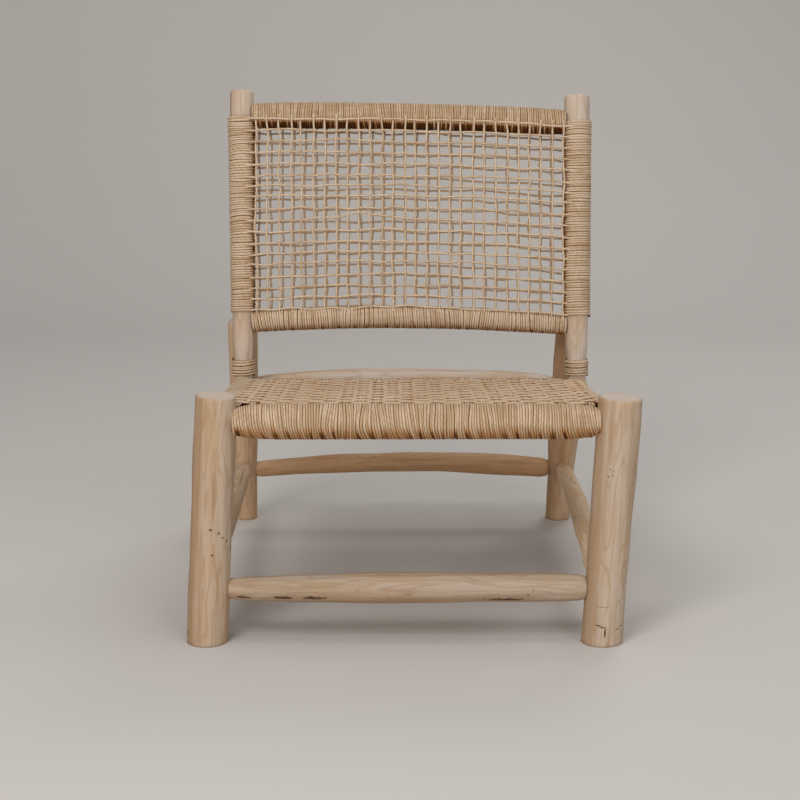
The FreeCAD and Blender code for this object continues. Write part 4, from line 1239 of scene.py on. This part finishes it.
@dataclass
class BackFrame:
    """The two leaning posts and the two rails of the back, with their close turns of cord."""

    post_rounding: float = 0.0062
    post_below: float = 0.012
    rail_tenon: float = 0.009
    rail_turns: float = 137.0
    post_turns: float = 79.0
    post_turn_lean: float = 0.25
    past_end: float = 0.007
    posts: tuple[Limb, ...] = (
        Limb("back_post_left", (-0.2883, 0.17073, 0.29847), (-0.2906, 0.26579, 0.78748), 0.0209,
             ((0.0, 0.77), (0.07, 0.79), (0.13, 0.86), (0.25, 0.84), (0.45, 0.86), (0.75, 0.93),
              (0.92, 0.98), (1.0, 0.98)), tint=(1.1, 1.16, 1.28)),
        Limb("back_post_right", (0.288, 0.17073, 0.29847), (0.2877, 0.26433, 0.77998), 0.0218,
             ((0.0, 0.74), (0.07, 0.76), (0.13, 0.86), (0.23, 0.92), (0.45, 0.94), (0.75, 0.97),
              (0.92, 1.0), (1.0, 0.99)), tint=(1.16, 1.28, 1.5)),
    )
    top: Limb = Limb("top_back_rail", (-0.26848, 0.25742, 0.74442), (0.26458, 0.25527, 0.73336), 0.019,
                     RAIL_SHARES, (0.0, 0.0008, 0.00412))
    lower: Limb = Limb("lower_back_rail", (-0.26908, 0.1898, 0.39655), (0.26632, 0.18863, 0.39052), 0.016,
                       ((0.0, 0.92), (0.05, 0.97), (0.2, 1.0), (0.5, 1.0), (0.8, 0.95), (0.95, 0.87),
                        (1.0, 0.82)), (0.0, 0.00202, 0.01041))
    post_spans: tuple[tuple[float, float], ...] = ((0.2327, 0.9057), (0.2228, 0.9042))
    # Painted shade on the underside of the top rail's wrap and on the inner sides of the post wraps.
    top_underside_shade: Point = (-0.2, -0.38, 0.95)
    post_inner_shade: Point = (-0.66, -0.97, 0.62)

    def build(self, work: WoodWork, cords: CordWork) -> None:
        """Builds and dresses the posts, the rails and the wraps."""
        work.uprights(self.post_rounding, False, self.post_below, *self.posts)
        work.rails(self.rail_tenon, self.top, self.lower)
        for limb, span, side, outer in zip(self.posts, self.post_spans, ("left", "right"), (-1.0, 1.0)):
            coil = Coil(limb, *span, self.post_turns, lean=self.post_turn_lean, under=self.post_inner_shade,
                        away=(outer, 0.0, 0.0))
            cords.wrap("post_wrap_" + side, coil)
        ends = (-self.past_end, 1.0 + self.past_end)
        top = Coil(self.top, *ends, self.rail_turns, under=self.top_underside_shade)
        # The top rail's wrap is painted darker overall: painted shade.
        cords.wrap("top_rail_wrap", top, shade=0.3)
        cords.wrap("lower_rail_wrap", Coil(self.lower, *ends, self.rail_turns))


@dataclass
class PostLashings:
    """The slanted turns round the foot of each post, with the turns round the side rail beside it.

    The rail's turns are rows of first and last place along Y, turns, and how far they lie over other turns.
    """

    back: BackFrame
    turns: float = 6.5
    pitch: float = 0.00435
    start: float = 0.0073
    slant: float = 0.003
    rail_turns: tuple[tuple[float, float, float, float], ...] = (
        (0.1215, 0.1530, 7.5, 0.0), (0.1300, 0.1545, 5.5, 0.0016), (0.1885, 0.2225, 8.5, 0.0))

    def build(self, cords: CordWork, seat_frame: SeatFrame) -> None:
        """Builds and dresses both lashings."""
        for limb, rail, side in zip(self.back.posts, seat_frame.sides, ("left", "right")):
            first = self.start / limb.length
            last = (self.start + self.turns * self.pitch) / limb.length
            coils = [Coil(limb, first, last, self.turns, jitter=0.12, slant=self.slant, steps=40, press=0.97,
                          lean=0.0)]
            for low, high, turns, layer in self.rail_turns:
                span = (rail.share_at(1, low), rail.share_at(1, high))
                coils.append(Coil(rail, *span, turns, lift=CORD_LIFT + layer))
            # The lashings are painted a little darker overall: painted shade.
            cords.wrap("post_lashing_" + side, *coils, shade=0.1)


@dataclass
class BackNet:
    """The open net of the back: two layers of cords woven over and under each other.

    The arch is the one row that humps: its number, place along X, half width and share of the height.
    """

    back: BackFrame
    columns: int = 28
    rows: int = 17
    top_offset: float = 0.0212
    lower_offset: float = 0.0135
    rear_shift: float = 0.14
    from_post: float = 0.0245
    past_post: float = 0.020
    top_room: float = 1.43
    column_drift: float = 0.0009
    column_jitter: float = 0.0016
    row_drift: float = 0.0030
    row_jitter: float = 0.006
    arch: tuple[int, float, float, float] = (8, -0.085, 0.045, 0.024)
    swing: float = 0.0014
    cord_shape: CordShape = CordShape(0.0017, 0.0018, 7)
    step: float = 0.005

    def place(self, x: Array, v: Array, side: int) -> Array:
        """A point of a layer at places along X and shares of the height between the rails' axes."""
        low = self.back.lower.at(self.back.lower.share_at(0, x))
        high = self.back.top.at(self.back.top.share_at(0, x))
        offset = self.lower_offset + (self.top_offset - self.lower_offset) * smooth(v * 1.6)
        return low + (high - low) * v[..., None] + BACK_NORMAL * (side * offset)[..., None]

    def layer(self, run: CordRun, side: int) -> None:
        """Lays one layer, -1 for the front one and 1 for the rear one."""
        normal = BACK_NORMAL * side
        rear = side > 0
        shift = self.rear_shift if rear else 0.0
        left = self.back.posts[0].start[0] + self.from_post
        right = self.back.posts[1].start[0] - self.from_post
        pitch_x = (right - left) / (self.columns - 1)
        pitch_v = 1.0 / (self.rows + self.top_room)

        def strand(x: Array, v: Array, phase: Array, sign: int) -> None:
            """Lays one cord that swings out and in."""
            points = self.place(x, v, side) + normal * (sign * np.cos(math.pi * phase) * self.swing)[:, None]
            outward = np.tile(normal, (len(points), 1))
            run.lay(points, outward, self.cord_shape, float(run.rng.uniform(0.0, 0.6)))

        total = self.back.top.start[2] - self.back.lower.start[2]
        heights = np.linspace(0.015, 1.0, int(total / self.step))
        for index in range(self.columns - int(rear)):
            drift = Drift(run.rng, 6, 0.9, 0.12)
            x = left + pitch_x * (index + shift) + drift.at(heights) * self.column_drift
            x = x + run.rng.uniform(-self.column_jitter, self.column_jitter)
            strand(x, heights, heights / pitch_v - 1.0 - shift + index, 1)
        x = np.linspace(left - self.past_post, right + self.past_post, int((right - left) / self.step))
        for index in range(self.rows + int(not rear)):
            drift = Drift(run.rng, 6, 0.6, 0.05)
            v = pitch_v * (index + 1.0 - shift) + drift.at(x) * self.row_drift
            v = v + run.rng.uniform(-self.row_jitter, self.row_jitter)
            if not rear and index == self.arch[0]:
                v = v + self.arch[3] * np.exp(-((x - self.arch[1]) / self.arch[2]) ** 2)
            strand(x, v, (x - left) / pitch_x - shift + index, -1)

    def build(self, cord: TwistedCord) -> None:
        """Builds and dresses both layers."""
        # Both layers are painted lighter, the rear one more: painted light on the layer in the front one's
        # shade; 0.35 is painted shade on the flanks.
        for node, side, shade in (("back_net_front", -1, -0.05), ("back_net_rear", 1, -0.2)):
            run = CordRun(node)
            self.layer(run, side)
            run.place(node + "_cord", cord.material(node, shade, 0.35), node)


@dataclass
class LegScrews:
    """The two screws, whose frame nodes are shown as they are."""

    nodes: tuple[str, str] = ("leg_screw_left", "leg_screw_right")

    def build(self, steel: ScrewSteel) -> None:
        """Gives the screws their steel."""
        material = steel.material()
        for name in self.nodes:
            node = frame["nodes"][name]
            node.data.materials.clear()
            node.data.materials.append(material)
            LOG.info("%s: steel", name)


@dataclass
class Studio:
    """Plain pale floor and backdrop, soft light and the camera.

    Lamps are rows of name, place, target, side length, power in watts and colour.
    """

    half_width: float = 12.0
    front: float = -14.0
    backdrop: float = 3.4
    curve: float = 1.2
    height: float = 6.0
    camera_place: Point = (-0.0174, -3.2514, 1.02)
    camera_tilt: float = 77.5
    lens: float = 90.9
    sensor: float = 36.0
    sky: tuple[float, float, float, float] = (1.0, 0.995, 0.985, 1.0)
    sky_strength: float = 0.34
    lamps: tuple[tuple[str, Point, Point, float, float, Point], ...] = (
        ("key_lamp", (-1.1, -2.8, 2.9), (0.0, 0.0, 0.3), 1.3, 53.0, (1.0, 0.98, 0.96)),
        ("top_lamp", (0.3, -0.6, 3.3), (0.0, 0.0, 0.3), 2.0, 21.0, (1.0, 0.985, 0.97)),
        ("front_lamp", (1.7, -4.2, 1.2), (0.0, 0.0, 0.35), 1.8, 44.0, (1.0, 0.975, 0.95)),
        ("low_lamp", (-1.9, -3.3, 0.6), (0.2, 0.0, 0.15), 1.2, 24.0, (1.0, 0.93, 0.83)),
        ("back_lamp", (1.2, 2.0, 2.6), (0.0, 0.0, 0.5), 1.4, 20.0, (1.0, 0.99, 0.98)))

    def floor(self) -> None:
        """Floor that curves up into the backdrop."""
        bend = np.linspace(0.0, math.pi / 2, 13)
        foot = self.backdrop - self.curve
        level = np.linspace(self.front, foot, 9)[:-1]
        depth = np.concatenate([level, foot + np.sin(bend) * self.curve, [self.backdrop]])
        rise = np.concatenate([np.zeros(len(level)), self.curve * (1 - np.cos(bend)), [self.height]])
        across = np.linspace(-self.half_width, self.half_width, 5)
        mesh = bpy.data.meshes.new("studio_floor")
        points = [(x, y, z) for y, z in zip(depth, rise) for x in across]
        wide = len(across)
        faces = [(r * wide + c, r * wide + c + 1, (r + 1) * wide + c + 1, (r + 1) * wide + c)
                 for r in range(len(depth) - 1) for c in range(wide - 1)]
        mesh.from_pydata(points, [], faces)
        mesh.polygons.foreach_set("use_smooth", [True] * len(faces))
        mesh.materials.append(StudioPaint().material())
        made = add_object("studio_floor", mesh)

    def light(self) -> None:
        """Soft light from above and from the front."""
        world = bpy.data.worlds.new("studio_world")
        world.use_nodes = True
        world.node_tree.nodes["Background"].inputs["Color"].default_value = self.sky
        world.node_tree.nodes["Background"].inputs["Strength"].default_value = self.sky_strength
        bpy.context.scene.world = world
        for name, place, target, size, power, color in self.lamps:
            light = bpy.data.lights.new(name, "AREA")
            light.energy = power
            light.size = size
            light.color = color
            made = add_object(name, light)
            made.location = place
            made.rotation_euler = (Vector(target) - Vector(place)).to_track_quat("-Z", "Y").to_euler()

    def camera(self) -> None:
        """The camera at the picture's angle."""
        data = bpy.data.cameras.new("camera")
        data.lens = self.lens
        data.sensor_width = self.sensor
        made = add_object("camera", data)
        made.location = self.camera_place
        made.rotation_euler = (math.radians(self.camera_tilt), 0.0, 0.0)
        bpy.context.scene.camera = made
        bpy.context.scene.view_settings.view_transform = "Standard"

    def build(self) -> None:
        """Sets up the floor, the light and the camera."""
        self.floor()
        self.light()
        self.camera()


def main() -> None:
    """Builds the chair and the studio."""
    logging.basicConfig(level=logging.INFO, format="%(name)s: %(message)s")
    work = WoodWork()
    cords = CordWork()
    seat_frame = SeatFrame()
    back = BackFrame()
    LegFrame().build(work)
    seat_frame.build(work, cords)
    back.build(work, cords)
    SeatWeave(seat_frame).build(cords.cord)
    BackNet(back).build(cords.cord)
    PostLashings(back).build(cords, seat_frame)
    LegScrews().build(ScrewSteel())
    Studio().build()


if __name__ == "__main__":
    main()
